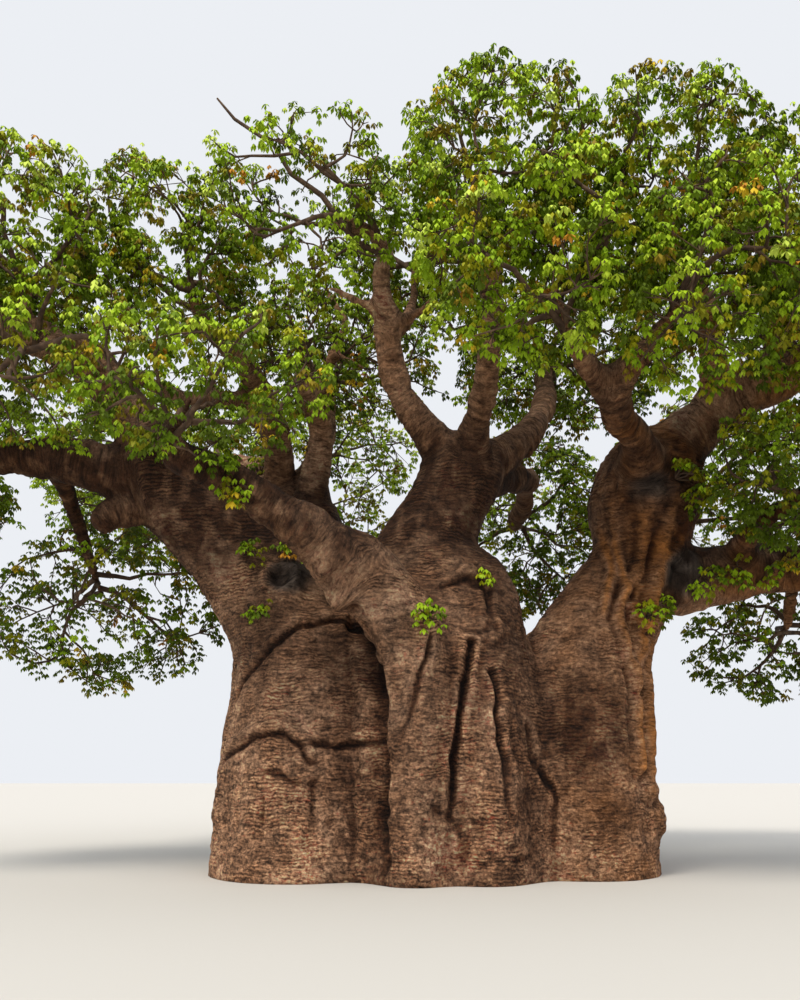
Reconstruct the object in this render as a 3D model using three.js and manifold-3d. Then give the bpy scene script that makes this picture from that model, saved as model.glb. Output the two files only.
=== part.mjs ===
// An old, squat baobab: a broad trunk of fused columns, heavy boughs that fork low, and a wide, low crown
// of leaf masses.
// Millimetres, +Z up. The origin is on the ground, in the middle of the trunk's flat cut, and -Y is the
// front.
import * as THREE from "three";
import { mergeVertices } from "three/addons/utils/BufferGeometryUtils.js";
import Module from "manifold-3d";

const wasm = await Module();
wasm.setup();

// Driving sizes
const METRE = 1000;
const GAP = 0.5; // clearance between touching pieces of wood
const STEM_OVERLAP = 30; // the stem starts inside its limb's tip and is then cut back clear of it
const COLUMN_SIDES = 12;
const ROOT_FLARE = 0.06; // share by which a column widens where it meets the ground
const FLARE_HEIGHT = 0.4 * METRE;
const BELOW_GROUND = 0.3 * METRE; // cut off again to leave the flat face at ground level
const BOUGH_SIDES = 8;
const BOUGH_RINGS = 6;
const LIMB_SIDES = 6;
const LIMB_RINGS = 3;
const LIMB_TAPER = 0.7; // a limb's tip radius as a share of its foot's
const MIN_LIMB_TIP = 0.07; // metres
const MAX_LIMB_TIP = 0.16; // metres
const COLLAR = 0.22; // share by which a limb swells where it leaves its parent
const COLLAR_REACH = 0.12;
const ENTRY = 0.62; // how far out from a mass's middle its limb ends, as a share of the mass's radius
const STEM_SIDES = 3;
const TWIGS = 6; // twigs on the stem of one mass
const MAX_REACH = 0.98; // how far out the leaves may reach, as a share of the mass's radius
const REACH_STEP = 0.12; // tries get this much shorter until the place is in the mass's own space
const REACH_TRIES = 6;
const TWIG_REACH = 0.7; // how far out the twigs end, as a share of their reach
const TWIG_FOOT_RADIUS = 52;
const TWIG_TIP_RADIUS = 38; // thick enough to hold the roots of its sprays
const SMOOTHING = 2; // faces this close to flush are merged after joining
const HOLD_STEP = 0.12; // how much further back along the twig each next spray is held
const ROLL = 1; // how far apart the sprays are rolled
const BLADES = 17; // leaf sprays on one mass, each as one blade
const BLADE_WIDTH = 0.76; // share of its length
const BLADE_THICKNESS = 0.06; // share of its length
const BLADE_WIDEST = 0.62; // where along its length it is widest
const BLADE_SUNK = 0.03; // share of its length that is behind the middle of its twig
const LEAF_CLEARANCE = 25; // between a leaf or twig and any limb
const CELL_CLEARANCE = 22; // between a leaf or twig and the edge of its mass's own space
const WOOD_POINTS = 24; // points along each limb that leaves are kept off
const WOOD_MARGIN = 1.06;
const GOLDEN_ANGLE = Math.PI * (3 - Math.sqrt(5));

const BARK_GREY = 0x6b5850;
const BARK_BROWN = 0x71543f;
const LEAF_GREENS = [0x4f7d1c, 0x5f8f22, 0x3f6a1a];

// The columns that make up the trunk: stations of [x, y, z, half width, half depth] in metres, from foot to
// fork.
const columns = {
  left: [
    [-1.84, -0.62, -0.3, 1.16, 1.5],
    [-1.82, -0.6, 1.4, 1.1, 1.38],
    [-1.88, -0.5, 3.0, 0.92, 1.1],
    [-2.48, -0.5, 4.12, 0.78, 0.8],
    [-3.3, -0.75, 4.95, 0.64, 0.62],
    [-3.8, -0.95, 5.45, 0.44, 0.44],
  ],
  front_left: [
    [-0.32, -1.75, -0.3, 0.48, 0.78],
    [-0.3, -1.82, 1.4, 0.42, 0.66],
    [-0.32, -1.86, 2.7, 0.42, 0.6],
    [-0.6, -2.02, 3.35, 0.42, 0.5],
    [-1.05, -2.3, 3.82, 0.36, 0.36],
  ],
  front_right: [
    [0.62, -1.62, -0.3, 0.52, 0.78],
    [0.54, -1.66, 1.4, 0.45, 0.62],
    [0.54, -1.4, 2.8, 0.48, 0.54],
    [0.62, -1.1, 3.6, 0.42, 0.42],
    [0.45, -0.9, 4.1, 0.28, 0.28],
  ],
  centre: [
    [0.1, -0.7, -0.3, 1.6, 1.5],
    [0.05, -0.8, 1.9, 1.4, 1.35],
    [-0.02, -0.95, 3.3, 1.08, 0.95],
    [-0.22, -0.85, 4.2, 0.7, 0.7],
    [0.08, -0.85, 4.9, 0.52, 0.54],
    [0.42, -0.82, 5.6, 0.46, 0.46],
  ],
  right: [
    [1.97, -0.5, -0.3, 1.0, 1.32],
    [1.95, -0.5, 1.4, 1.02, 1.25],
    [2.08, -0.5, 2.7, 0.88, 0.96],
    [2.45, -0.52, 3.6, 0.68, 0.7],
    [2.75, -0.62, 4.3, 0.55, 0.56],
    [2.9, -0.75, 5.0, 0.74, 0.66],
    [3.02, -0.85, 5.45, 0.64, 0.58],
    [3.12, -0.9, 5.8, 0.34, 0.34],
  ],
  back_left: [
    [-1.25, 1.2, -0.3, 1.3, 1.3],
    [-1.25, 1.25, 1.5, 1.15, 1.15],
    [-1.4, 1.3, 3.0, 0.92, 0.9],
    [-1.75, 1.25, 4.3, 0.66, 0.66],
    [-2.0, 1.15, 5.2, 0.5, 0.48],
  ],
  back_middle: [
    [0.05, 1.75, -0.3, 0.85, 0.95],
    [0.05, 1.75, 1.4, 0.7, 0.78],
    [0.1, 1.5, 2.8, 0.55, 0.55],
    [0.1, 1.1, 3.5, 0.35, 0.35],
  ],
  back_right: [
    [1.3, 1.2, -0.3, 1.25, 1.3],
    [1.35, 1.25, 1.3, 1.08, 1.1],
    [1.6, 1.4, 2.4, 0.84, 0.86],
    [2.15, 1.85, 3.25, 0.56, 0.58],
  ],
};

// The main boughs: what each grows from and where along it, the tip it reaches in metres,
// how far its middle is bowed off the straight line, and its radius at foot and tip.
const boughs = {
  bough_left_low: {
    on: "left", at: 0.95, tip: [-6.4, -1.4, 5.42], bow: [0, 0, 0.14], radii: [0.35, 0.13],
  },
  bough_left_rise: {
    on: "left", at: 0.97, tip: [-5.75, -2.0, 7.15], bow: [0.12, 0, 0.42], radii: [0.31, 0.16],
  },
  bough_left_stub: {
    on: "left", at: 0.84, tip: [-4.5, -1.15, 4.72], bow: [0, 0, 0.06], radii: [0.24, 0.19],
  },
  bough_front_low: {
    on: "front_left", at: 0.95, tip: [-3.0, -3.15, 4.9], bow: [0.02, 0, 0.06], radii: [0.33, 0.18],
  },
  bough_centre_left: {
    on: "centre", at: 0.95, tip: [-0.7, -1.75, 8.2], bow: [-0.4, 0, -0.12], radii: [0.25, 0.08],
  },
  bough_right_front: {
    on: "right", at: 0.82, tip: [1.72, -3.1, 6.0], bow: [0.1, -0.15, 0.02], radii: [0.27, 0.14],
  },
  bough_right_rise: {
    on: "right", at: 0.85, tip: [5.45, -1.4, 7.0], bow: [-0.2, 0, 0.2], radii: [0.38, 0.2],
  },
  bough_right_low: {
    on: "right", at: 0.4, tip: [6.4, -0.6, 4.0], bow: [0, 0, 0.45], radii: [0.46, 0.24],
  },
  bough_back_left: {
    on: "back_left", at: 0.95, tip: [-3.4, 2.45, 6.65], bow: [0, 0, 0.1], radii: [0.38, 0.2],
  },
  bough_back_right: {
    on: "back_right", at: 0.93, tip: [4.15, 3.0, 5.1], bow: [0.1, 0, 0.1], radii: [0.4, 0.21],
  },
};

// The masses of leaves: the middle and half sizes in metres, and the bough whose tip is in it, if any.
const masses = {
  left_low_outer: { middle: [-7.6, -1.2, 5.1], size: [1.9, 2.1, 1.3], tipOf: "bough_left_low" },
  left_outer: { middle: [-7.2, -1.2, 7.3], size: [2.2, 2.4, 1.6], tipOf: "bough_left_rise" },
  front_low: { middle: [-2.7, -3.9, 5.5], size: [1.6, 1.2, 0.85], tipOf: "bough_front_low" },
  centre_top: { middle: [-1.6, -2.4, 8.5], size: [1.65, 1.4, 1.0], tipOf: "bough_centre_left" },
  right_front_inner: { middle: [1.1, -3.8, 6.95], size: [1.5, 1.4, 1.2], tipOf: "bough_right_front" },
  right_outer: { middle: [7.0, -1.1, 7.3], size: [2.1, 2.4, 1.6], tipOf: "bough_right_rise" },
  right_low_outer: { middle: [7.7, -0.6, 4.7], size: [1.85, 2.1, 1.35], tipOf: "bough_right_low" },
  back_left: { middle: [-5.0, 3.2, 6.8], size: [2.2, 2.4, 1.8], tipOf: "bough_back_left" },
  back_right: { middle: [5.3, 3.3, 6.5], size: [2.2, 2.4, 1.9], tipOf: "bough_back_right" },
  left_hanging: { middle: [-4.95, 0.6, 3.85], size: [1.95, 1.6, 1.4] },
  left_top_outer: { middle: [-5.3, -2.2, 8.0], size: [1.8, 1.9, 1.2] },
  left_front: { middle: [-4.9, -3.3, 6.2], size: [1.75, 1.5, 1.1] },
  left_top_inner: { middle: [-3.5, -1.3, 8.35], size: [1.75, 1.8, 1.3] },
  centre_left: { middle: [-1.9, 0.2, 7.9], size: [1.5, 1.6, 1.2] },
  centre_high: { middle: [-0.1, -0.2, 9.1], size: [1.7, 1.9, 1.15] },
  right_top_inner: { middle: [0.75, -2.7, 8.5], size: [1.6, 1.6, 1.45] },
  right_front: { middle: [2.85, -3.9, 6.75], size: [1.6, 1.35, 1.3] },
  right_top: { middle: [2.8, -2.4, 8.65], size: [1.7, 1.7, 1.35] },
  right_top_outer: { middle: [4.75, -1.6, 8.7], size: [1.75, 1.9, 1.4] },
  right_front_outer: { middle: [4.8, -3.3, 6.75], size: [1.6, 1.5, 1.2] },
  right_low_front: { middle: [4.6, -2.5, 5.0], size: [1.4, 1.3, 1.05] },
  right_hanging: { middle: [5.5, 1.2, 3.4], size: [1.6, 1.5, 1.0] },
  back_middle: { middle: [-2.2, 4.5, 7.3], size: [2.2, 2.2, 1.8] },
  back_high: { middle: [-1.5, 2.1, 8.5], size: [2.1, 1.9, 1.3] },
  back_low: { middle: [2.0, 4.4, 6.1], size: [2.1, 2.1, 2.0] },
  back_top: { middle: [2.3, 1.7, 8.4], size: [2.2, 2.1, 1.4] },
};

// The limbs that carry the other masses: what each grows from and where along it, how far its middle is
// bowed off the straight line, and its radius at the foot.
const limbs = {
  left_hanging: { on: "bough_left_low", at: 0.55, bow: [-0.1, 0.1, 0.3], foot: 0.14 },
  left_top_outer: { on: "bough_left_rise", at: 0.88, bow: [-0.15, 0, 0], foot: 0.15 },
  left_front: { on: "bough_left_rise", at: 0.62, bow: [0.1, 0, 0.15], foot: 0.13 },
  left_top_inner: { on: "bough_back_left", at: 0.35, bow: [0.3, 0.2, 0.4], foot: 0.2 },
  centre_left: { on: "back_left", at: 0.96, bow: [0.2, 0.1, 0], foot: 0.22 },
  centre_high: { on: "bough_centre_left", at: 0.66, bow: [0.12, 0.15, -0.05], foot: 0.1 },
  right_top_inner: { on: "centre", at: 0.97, bow: [0.1, -0.35, -0.2], foot: 0.19 },
  right_front: { on: "bough_right_front", at: 0.8, bow: [0, -0.1, 0], foot: 0.17 },
  right_top: { on: "bough_right_rise", at: 0.45, bow: [0.15, 0, 0], foot: 0.2 },
  right_top_outer: { on: "bough_right_rise", at: 0.65, bow: [0.15, 0, 0], foot: 0.18 },
  right_front_outer: { on: "bough_right_rise", at: 0.78, bow: [0.1, 0, 0.1], foot: 0.15 },
  right_low_front: { on: "bough_right_low", at: 0.42, bow: [0, 0, 0.15], foot: 0.16 },
  right_hanging: { on: "bough_right_low", at: 0.7, bow: [0, 0.1, 0.2], foot: 0.14 },
  back_middle: { on: "bough_back_left", at: 0.85, bow: [0, 0.1, 0.1], foot: 0.2 },
  back_high: { on: "bough_back_left", at: 0.2, bow: [0.2, -0.1, 0.2], foot: 0.18 },
  back_low: { on: "centre", at: 0.88, bow: [0.55, -0.5, 0.35], foot: 0.22 },
  back_top: { on: "centre", at: 0.94, bow: [0.3, -0.4, -0.3], foot: 0.24 },
};

// Repeatable chance: the same number for the same three whole numbers.
function chance(seed, item, channel) {
  const wave = Math.sin(seed * 12.9898 + item * 78.233 + channel * 37.719) * 43758.5453;
  return wave - Math.floor(wave);
}

const point = (metres) => new THREE.Vector3(...metres).multiplyScalar(METRE);

// A three.js geometry as a solid.
function solidOf(geometry) {
  const bare = geometry.clone();
  bare.deleteAttribute("normal");
  bare.deleteAttribute("uv");
  const merged = mergeVertices(bare, 1e-3);
  return new wasm.Manifold(
    new wasm.Mesh({
      numProp: 3,
      vertProperties: new Float32Array(merged.attributes.position.array),
      triVerts: new Uint32Array(merged.index.array),
    }),
  );
}

// A solid as a three.js geometry.
function geometryOf(solid) {
  const { numProp, vertProperties, triVerts } = solid.getMesh();
  const corners = new Float32Array((vertProperties.length / numProp) * 3);
  for (let i = 0; i * 3 < corners.length; i++)
    corners.set(vertProperties.subarray(i * numProp, i * numProp + 3), i * 3);
  const geometry = new THREE.BufferGeometry();
  geometry.setAttribute("position", new THREE.BufferAttribute(corners, 3));
  geometry.setIndex(new THREE.BufferAttribute(new Uint32Array(triVerts), 1));
  geometry.computeVertexNormals();
  return geometry;
}

function largestOf(solid) {
  return solid.decompose().sort((a, b) => b.volume() - a.volume())[0];
}

// A capped cylinder whose rings are carried along an axis: ring(share) gives the middle and two half axes
// there.
function taperedSolid(sides, rings, ring) {
  const tube = new THREE.CylinderGeometry(1, 1, 1, sides, rings);
  const corners = tube.attributes.position;
  const corner = new THREE.Vector3();
  for (let i = 0; i < corners.count; i++) {
    corner.fromBufferAttribute(corners, i);
    const { middle, across, along } = ring(corner.y + 0.5);
    corners.setXYZ(
      i,
      middle.x + across.x * corner.z + along.x * corner.x,
      middle.y + across.y * corner.z + along.y * corner.x,
      middle.z + across.z * corner.z + along.z * corner.x,
    );
  }
  return solidOf(tube);
}

// A smooth run through evenly spread values.
function smoothAt(values, share) {
  const place = THREE.MathUtils.clamp(share, 0, 1) * (values.length - 1);
  const i = Math.min(Math.floor(place), values.length - 2);
  const t = place - i;
  const [a, b, c, d] = [-1, 0, 1, 2].map((k) => values[THREE.MathUtils.clamp(i + k, 0, values.length - 1)]);
  const [slope, square, cube] = [c - a, 2 * a - 5 * b + 4 * c - d, 3 * b - a - 3 * c + d];
  return 0.5 * (2 * b + slope * t + square * t * t + cube * t ** 3);
}

// The axis of a column or limb: at(share) gives its place, and radius(share) its half width there.
function columnAxis(stations) {
  const value = (i) => (share) => smoothAt(stations.map((s) => s[i]), share) * METRE;
  const [x, y, z, width, depth] = [0, 1, 2, 3, 4].map(value);
  const at = (share) => new THREE.Vector3(x(share), y(share), z(share));
  const flare = (share) => 1 + ROOT_FLARE * Math.exp(-Math.max(z(share), 0) / FLARE_HEIGHT);
  return {
    at,
    rings: stations.length + 1,
    width: (share) => width(share) * flare(share),
    depth: (share) => depth(share) * flare(share),
    radius: (share) => Math.max(width(share), depth(share)),
  };
}

function columnSolid(axis, grown) {
  const step = 0.02;
  return taperedSolid(COLUMN_SIDES, axis.rings, (share) => {
    const middle = axis.at(share);
    const heading = axis.at(Math.min(share + step, 1)).sub(axis.at(Math.max(share - step, 0))).normalize();
    const across = new THREE.Vector3(0, 1, 0).cross(heading).normalize();
    const along = heading.clone().cross(across);
    return {
      middle: middle.addScaledVector(heading, share === 1 ? grown : 0),
      across: across.multiplyScalar(axis.width(share) + grown),
      along: along.multiplyScalar(axis.depth(share) + grown),
    };
  });
}

function limbAxis(foot, tip, bow, footRadius, tipRadius) {
  const bend = foot.clone().lerp(tip, 0.5).addScaledVector(point(bow), 2);
  const curve = new THREE.QuadraticBezierCurve3(foot, bend, tip);
  const taper = (share) => tipRadius + (footRadius - tipRadius) * (1 - share) ** 0.85;
  const collar = (share) => 1 + COLLAR * Math.exp(-share / COLLAR_REACH);
  return {
    at: (share) => curve.getPoint(share),
    heading: (share) => curve.getTangent(share),
    radius: (share) => taper(share) * collar(share) * METRE,
    tipRadius: tipRadius * METRE,
    curve,
  };
}

function limbSolid(axis, sides, rings, grown) {
  const frames = axis.curve.computeFrenetFrames(rings, false);
  return taperedSolid(sides, rings, (share) => {
    const k = Math.round(share * rings);
    const radius = axis.radius(share) + grown;
    const overrun = share === 1 ? grown : share === 0 ? -grown : 0;
    return {
      middle: axis.at(share).addScaledVector(frames.tangents[k], overrun),
      across: frames.normals[k].clone().multiplyScalar(radius),
      along: frames.binormals[k].clone().multiplyScalar(radius),
    };
  });
}

// A straight tapering twig between two points.
function twigSolid(from, to, fromRadius, toRadius, sides) {
  const twig = new THREE.CylinderGeometry(toRadius, fromRadius, from.distanceTo(to), sides, 1);
  const heading = to.clone().sub(from).normalize();
  twig.applyQuaternion(new THREE.Quaternion().setFromUnitVectors(new THREE.Vector3(0, 1, 0), heading));
  twig.translate(...from.clone().lerp(to, 0.5).toArray());
  return solidOf(twig);
}

// A leaf spray's blade: an octahedron drawn out to a flat pointed leaf from root to tip, with its corners.
function bladeOf(root, tip, outward, roll) {
  const length = root.distanceTo(tip);
  const heading = tip.clone().sub(root).normalize();
  const across = outward.clone().cross(heading).normalize().applyAxisAngle(heading, roll);
  const normal = heading.clone().cross(across);
  const blade = new THREE.OctahedronGeometry(1);
  const places = blade.attributes.position;
  for (let i = 0; i < places.count; i++)
    if (Math.abs(places.getX(i)) < 0.5) places.setX(i, 2 * BLADE_WIDEST - 1);
  blade.scale(length / 2, (length * BLADE_WIDTH) / 2, (length * BLADE_THICKNESS) / 2);
  blade.applyMatrix4(new THREE.Matrix4().makeBasis(heading, across, normal));
  blade.translate(...root.clone().lerp(tip, 0.5).toArray());
  const middle = root.clone().lerp(tip, BLADE_WIDEST);
  const half = (length * BLADE_WIDTH) / 2;
  const corners = [
    tip,
    middle.clone().addScaledVector(across, half),
    middle.clone().addScaledVector(across, -half),
    middle,
    middle.clone().lerp(tip, 0.5),
    root.clone().lerp(tip, BLADE_SUNK * 1.5),
  ];
  return { geometry: blade, corners };
}

const axes = {};
const solids = {};
const grownSolids = {};
const looks = {};

// The trunk: every column joined, and cut flat at ground level.
for (const [name, stations] of Object.entries(columns)) axes[name] = columnAxis(stations);
function trunkSolid(grown) {
  const whole = Object.keys(columns)
    .map((name) => columnSolid(axes[name], grown))
    .reduce((a, b) => a.add(b));
  const block = new THREE.BoxGeometry(20 * METRE, 20 * METRE, 2 * BELOW_GROUND);
  block.translate(0, 0, -BELOW_GROUND);
  return whole.subtract(solidOf(block));
}
solids.trunk = trunkSolid(0);
grownSolids.trunk = trunkSolid(GAP);
looks.trunk = BARK_GREY;

// Adds a bough or limb, trimmed where it leaves its parent and where it meets the ones before it.
function addLimb(name, axis, sides, rings) {
  axes[name] = axis;
  let solid = limbSolid(axis, sides, rings, 0);
  for (const other of Object.values(grownSolids)) solid = solid.subtract(other);
  solids[name] = largestOf(solid);
  grownSolids[name] = limbSolid(axis, sides, rings, GAP);
  looks[name] = BARK_BROWN;
}

for (const [name, { on, at, tip, bow, radii }] of Object.entries(boughs)) {
  addLimb(name, limbAxis(axes[on].at(at), point(tip), bow, ...radii), BOUGH_SIDES, BOUGH_RINGS);
}

// How far out a place is in a mass's own oval: 0 in its middle, 1 on its edge.
function outwardness(mass, place) {
  return place.clone().sub(mass.centre).divide(mass.extent).length();
}

const massList = Object.entries(masses).map(([name, { middle, size, tipOf }], index) => ({
  name,
  seed: index + 1,
  centre: point(middle),
  extent: point(size),
  limbName: tipOf ?? `limb_${name}`,
}));

for (const mass of massList.filter(({ name }) => limbs[name])) {
  const { on, at, bow, foot } = limbs[mass.name];
  const start = axes[on].at(at);
  const inward = start.clone().sub(mass.centre);
  const reach = ENTRY / inward.clone().divide(mass.extent).length();
  const entry = mass.centre.clone().addScaledVector(inward, reach);
  const tipRadius = THREE.MathUtils.clamp(foot * LIMB_TAPER, MIN_LIMB_TIP, MAX_LIMB_TIP);
  addLimb(mass.limbName, limbAxis(start, entry, bow, foot, tipRadius), LIMB_SIDES, LIMB_RINGS);
}

// Whether a place is well inside a mass's own space: in its oval, and deeper in it than in any neighbour's.
function inSpace(mass, place) {
  const own = outwardness(mass, place);
  const margin = (other) => (2 * CELL_CLEARANCE) / Math.min(mass.extent.z, other.extent.z);
  const nearer = (other) => other === mass || outwardness(other, place) > own + margin(other);
  return own <= 1 && massList.every(nearer);
}

// Points along every column and limb with their radius, for keeping leaves off the wood.
const woodPoints = Object.entries(axes).flatMap(([name, axis]) =>
  Array.from({ length: WOOD_POINTS + 1 }, (_, i) => i / WOOD_POINTS).map((share) => ({
    name,
    place: axis.at(share),
    radius: axis.radius(share),
  })),
);

function clearOfWood(place, exceptLimb) {
  return woodPoints.every(
    ({ name, place: middle, radius }) =>
      name === exceptLimb || middle.distanceTo(place) > radius * WOOD_MARGIN + LEAF_CLEARANCE,
  );
}

const placeIn = (mass, direction, share) =>
  mass.centre.clone().add(direction.clone().multiply(mass.extent).multiplyScalar(share));

// How far out a mass's own space reaches in one direction, as a share of its oval.
function reachOf(mass, direction) {
  const shares = Array.from({ length: REACH_TRIES }, (_, i) => MAX_REACH - i * REACH_STEP);
  return shares.find((share) => inSpace(mass, placeIn(mass, direction, share))) ?? 0;
}

// Directions spread evenly all round, turned by a mass's own seed.
function spreadDirection(seed, k, count, jitter) {
  const height = 1 - (2 * (k + 0.5)) / count;
  const turn = k * GOLDEN_ANGLE + seed + jitter;
  const flat = Math.sqrt(1 - height * height);
  return new THREE.Vector3(flat * Math.cos(turn), flat * Math.sin(turn), height);
}

// One mass: a stem on from its limb's tip, twigs spread round it, and blades spread evenly over its space.
function growMass(mass) {
  const limb = axes[mass.limbName];
  const tip = limb.at(1);
  const heart = mass.centre.clone().lerp(tip, 0.2);
  const stemStart = tip.clone().lerp(heart, -STEM_OVERLAP / tip.distanceTo(heart));
  const stemRadius = limb.tipRadius * 0.9;
  const free = (place, exceptLimb) => inSpace(mass, place) && clearOfWood(place, exceptLimb);
  const parts = [twigSolid(stemStart, heart, stemRadius, stemRadius * 0.85, STEM_SIDES)];
  const twigs = Array.from({ length: TWIGS }, (_, k) => {
    const direction = spreadDirection(mass.seed, k, TWIGS, 0);
    const end = placeIn(mass, direction, TWIG_REACH * reachOf(mass, direction));
    return { from: tip.clone().lerp(heart, 0.3 + (0.65 * (k + 0.5)) / TWIGS), end, held: 0 };
  }).filter(({ from, end }) =>
    [0.1, 0.4, 0.7, 1].every((share) => free(from.clone().lerp(end, share), mass.limbName)),
  );
  for (const { from, end } of twigs) parts.push(twigSolid(from, end, TWIG_FOOT_RADIUS, TWIG_TIP_RADIUS, 3));
  for (let k = 0; k < BLADES; k++) {
    const direction = spreadDirection(mass.seed, k, BLADES, 0.5 * chance(mass.seed, k, 2));
    const target = placeIn(mass, direction, reachOf(mass, direction) - 0.1 * chance(mass.seed, k, 3));
    const twig = twigs.reduce((a, b) => (b.end.distanceTo(target) < a.end.distanceTo(target) ? b : a));
    const hold = twig.from.clone().lerp(twig.end, 0.97 - HOLD_STEP * twig.held);
    const roll = (chance(mass.seed, k, 5) - 0.5) * ROLL;
    const share = [1, 0.8, 0.6].find((part) => {
      const { corners } = bladeOf(hold, hold.clone().lerp(target, part), direction, roll);
      return corners.every((place) => free(place, ""));
    });
    if (!share) continue;
    const tipPlace = hold.clone().lerp(target, share);
    const root = hold.clone().lerp(tipPlace, -BLADE_SUNK);
    parts.push(solidOf(bladeOf(root, tipPlace, direction, roll).geometry));
    twig.held++;
  }
  const whole = parts.reduce((a, b) => a.add(b)).asOriginal().simplify(SMOOTHING);
  return largestOf(whole.subtract(grownSolids[mass.limbName]));
}

for (const mass of massList) {
  solids[`foliage_${mass.name}`] = growMass(mass);
  looks[`foliage_${mass.name}`] = LEAF_GREENS[mass.seed % LEAF_GREENS.length];
}

const tree = new THREE.Group();
for (const [name, solid] of Object.entries(solids)) {
  const material = new THREE.MeshStandardMaterial({ color: looks[name], roughness: 0.85, metalness: 0 });
  const mesh = new THREE.Mesh(geometryOf(solid), material);
  mesh.name = name;
  tree.add(mesh);
}

export default tree;
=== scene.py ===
import math

import bmesh
import bpy
import numpy as np
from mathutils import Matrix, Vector
from mathutils.bvhtree import BVHTree


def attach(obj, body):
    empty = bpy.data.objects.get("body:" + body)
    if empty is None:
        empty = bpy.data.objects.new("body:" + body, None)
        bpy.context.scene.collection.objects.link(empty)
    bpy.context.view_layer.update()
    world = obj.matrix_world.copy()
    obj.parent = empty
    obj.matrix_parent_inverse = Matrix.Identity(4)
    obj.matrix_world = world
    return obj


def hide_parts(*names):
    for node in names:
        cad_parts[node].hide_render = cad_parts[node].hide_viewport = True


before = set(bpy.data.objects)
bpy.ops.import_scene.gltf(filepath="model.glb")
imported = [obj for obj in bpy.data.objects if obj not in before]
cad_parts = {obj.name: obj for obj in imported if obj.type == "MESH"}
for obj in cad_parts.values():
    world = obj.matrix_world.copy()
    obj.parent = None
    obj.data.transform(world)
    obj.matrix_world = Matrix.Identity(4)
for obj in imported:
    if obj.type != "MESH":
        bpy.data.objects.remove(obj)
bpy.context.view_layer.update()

# The camera, where the photograph was taken from, in metres
CAMERA_PLACE = (-0.49, -13.8, 1.27)
CAMERA_TILT = math.radians(6)
CAMERA_LENS = 34.45
CAMERA_SHIFT = 0.177
CAMERA_SENSOR = 36
VIEW_END = 500

# The studio: its floor, and each sun's strength, width and direction in degrees, and colour
FLOOR_SIZE = 400
FLOOR_DROP = 0.002
FLOOR_COLOUR = "#c9c6c0"
SKY_COLOUR = "#eceff4"
SUNS = {
    "key": (2.6, 22, (38, 0, -36), "#fff7ea"),
    "fill": (0.6, 60, (66, 0, 15), "#f2f4ff"),
}

# The wood's rule, as in the solids
ROOT_FLARE = 0.06
FLARE_HEIGHT = 0.4
COLLAR = 0.22
COLLAR_REACH = 0.12
LIMB_TAPERING = 0.85
ENTRY = 0.62
LIMB_TAPER = 0.7
MIN_LIMB_TIP = 0.07
MAX_LIMB_TIP = 0.16

# The foliage's rule, as in the solids
TWIGS = 6
MAX_REACH = 0.98
REACH_STEP = 0.12
REACH_TRIES = 6
TWIG_REACH = 0.7
HOLD_STEP = 0.12
SPRAYS = 17
CELL_CLEARANCE = 0.022
GOLDEN_ANGLE = math.pi * (3 - math.sqrt(5))

# The bark's skin
FIRST_VOXEL = 0.055
BARK_VOXEL = 0.036
BARK_KEPT = 0.5  # share of the triangles kept where the bark is smooth
BARK_SMOOTHING = 3  # rounds of smoothing
SMOOTHING_STRENGTH = 0.5
COLUMN_SIDES = 40
LIMB_SIDES = 20
AXIS_PLACES = 36
DOME_HEIGHT = 0.8  # of a rounded end, as a share of its radius
DOME_TIP = 0.02
STEM_SHARES = np.linspace(0, 1, 12)[1:]
STEM_TIP_RADIUS = 0.055
STEM_TAPERING = 0.8
WIGGLE = 0.4  # how far a limb strays from its smooth line, as a share of its radius
GIRTH_LUMPS = 0.14
NEAR = 0.7  # how far from a tube its depth is still worked out
FAR = 9.0
BLEND = 0.13  # how softly the columns and limbs flow into each other
BLEND_ROUNDS = 3
MAX_SWELL = 0.14
SWELL_SHARE = 0.09  # how much a limb may swell in one round, as a share of its girth
CUT_BAND = 0.02  # how far above its flat cut the skin stays as it is
EDGE_ROUNDS = 12  # rounds of smoothing between the skin of columns and limbs
RING_ROUNDS = 10

# The bark's relief; the trunk's lumps are height, size, seed, layers and whether only steep skin has them
CREASE_WIDTH = 0.07
CREASE_DEPTH = 0.02
TRUNK_LUMPS = [
    (0.05, 0.95, 11, 3, False),
    (0.034, (0.34, 0.34, 1.9), 21, 2, True),
    (0.016, (0.13, 0.13, 0.6), 31, 2, True),
]
LIMB_LUMPS = 0.16
LIMB_KNOBS = 0.45
LIMB_DENTS = 0.35
RING_GAP = 0.15
RING_DEPTH = 0.011
BAND_DEPTH = 0.013
WRINKLE_GAP = 0.13
WRINKLE_DEPTH = 0.004
FOLD_END = 0.12

# The twigs: radii from foot to tip and the number of sides
MAIN_TWIG = ((0.045, 0.041, 0.036, 0.031, 0.026, 0.021, 0.012), 6)
SPRAY_TWIG = ((0.022, 0.019, 0.016, 0.013, 0.011, 0.007), 5)
FINE_TWIG = ((0.012, 0.011, 0.01, 0.008, 0.005), 4)
SHOOT_TWIG = ((0.008, 0.004), 3)
SPROUT_TWIG = ((0.018, 0.014, 0.008), 4)
MAIN_RINGS, SPRAY_RINGS, FINE_RINGS, SPROUT_RINGS = (
    len(radii) for radii, _ in (MAIN_TWIG, SPRAY_TWIG, FINE_TWIG, SPROUT_TWIG)
)
TWIG_BOW = 0.35  # share of its length
TWIG_KINK = 0.07  # share of its length

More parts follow.
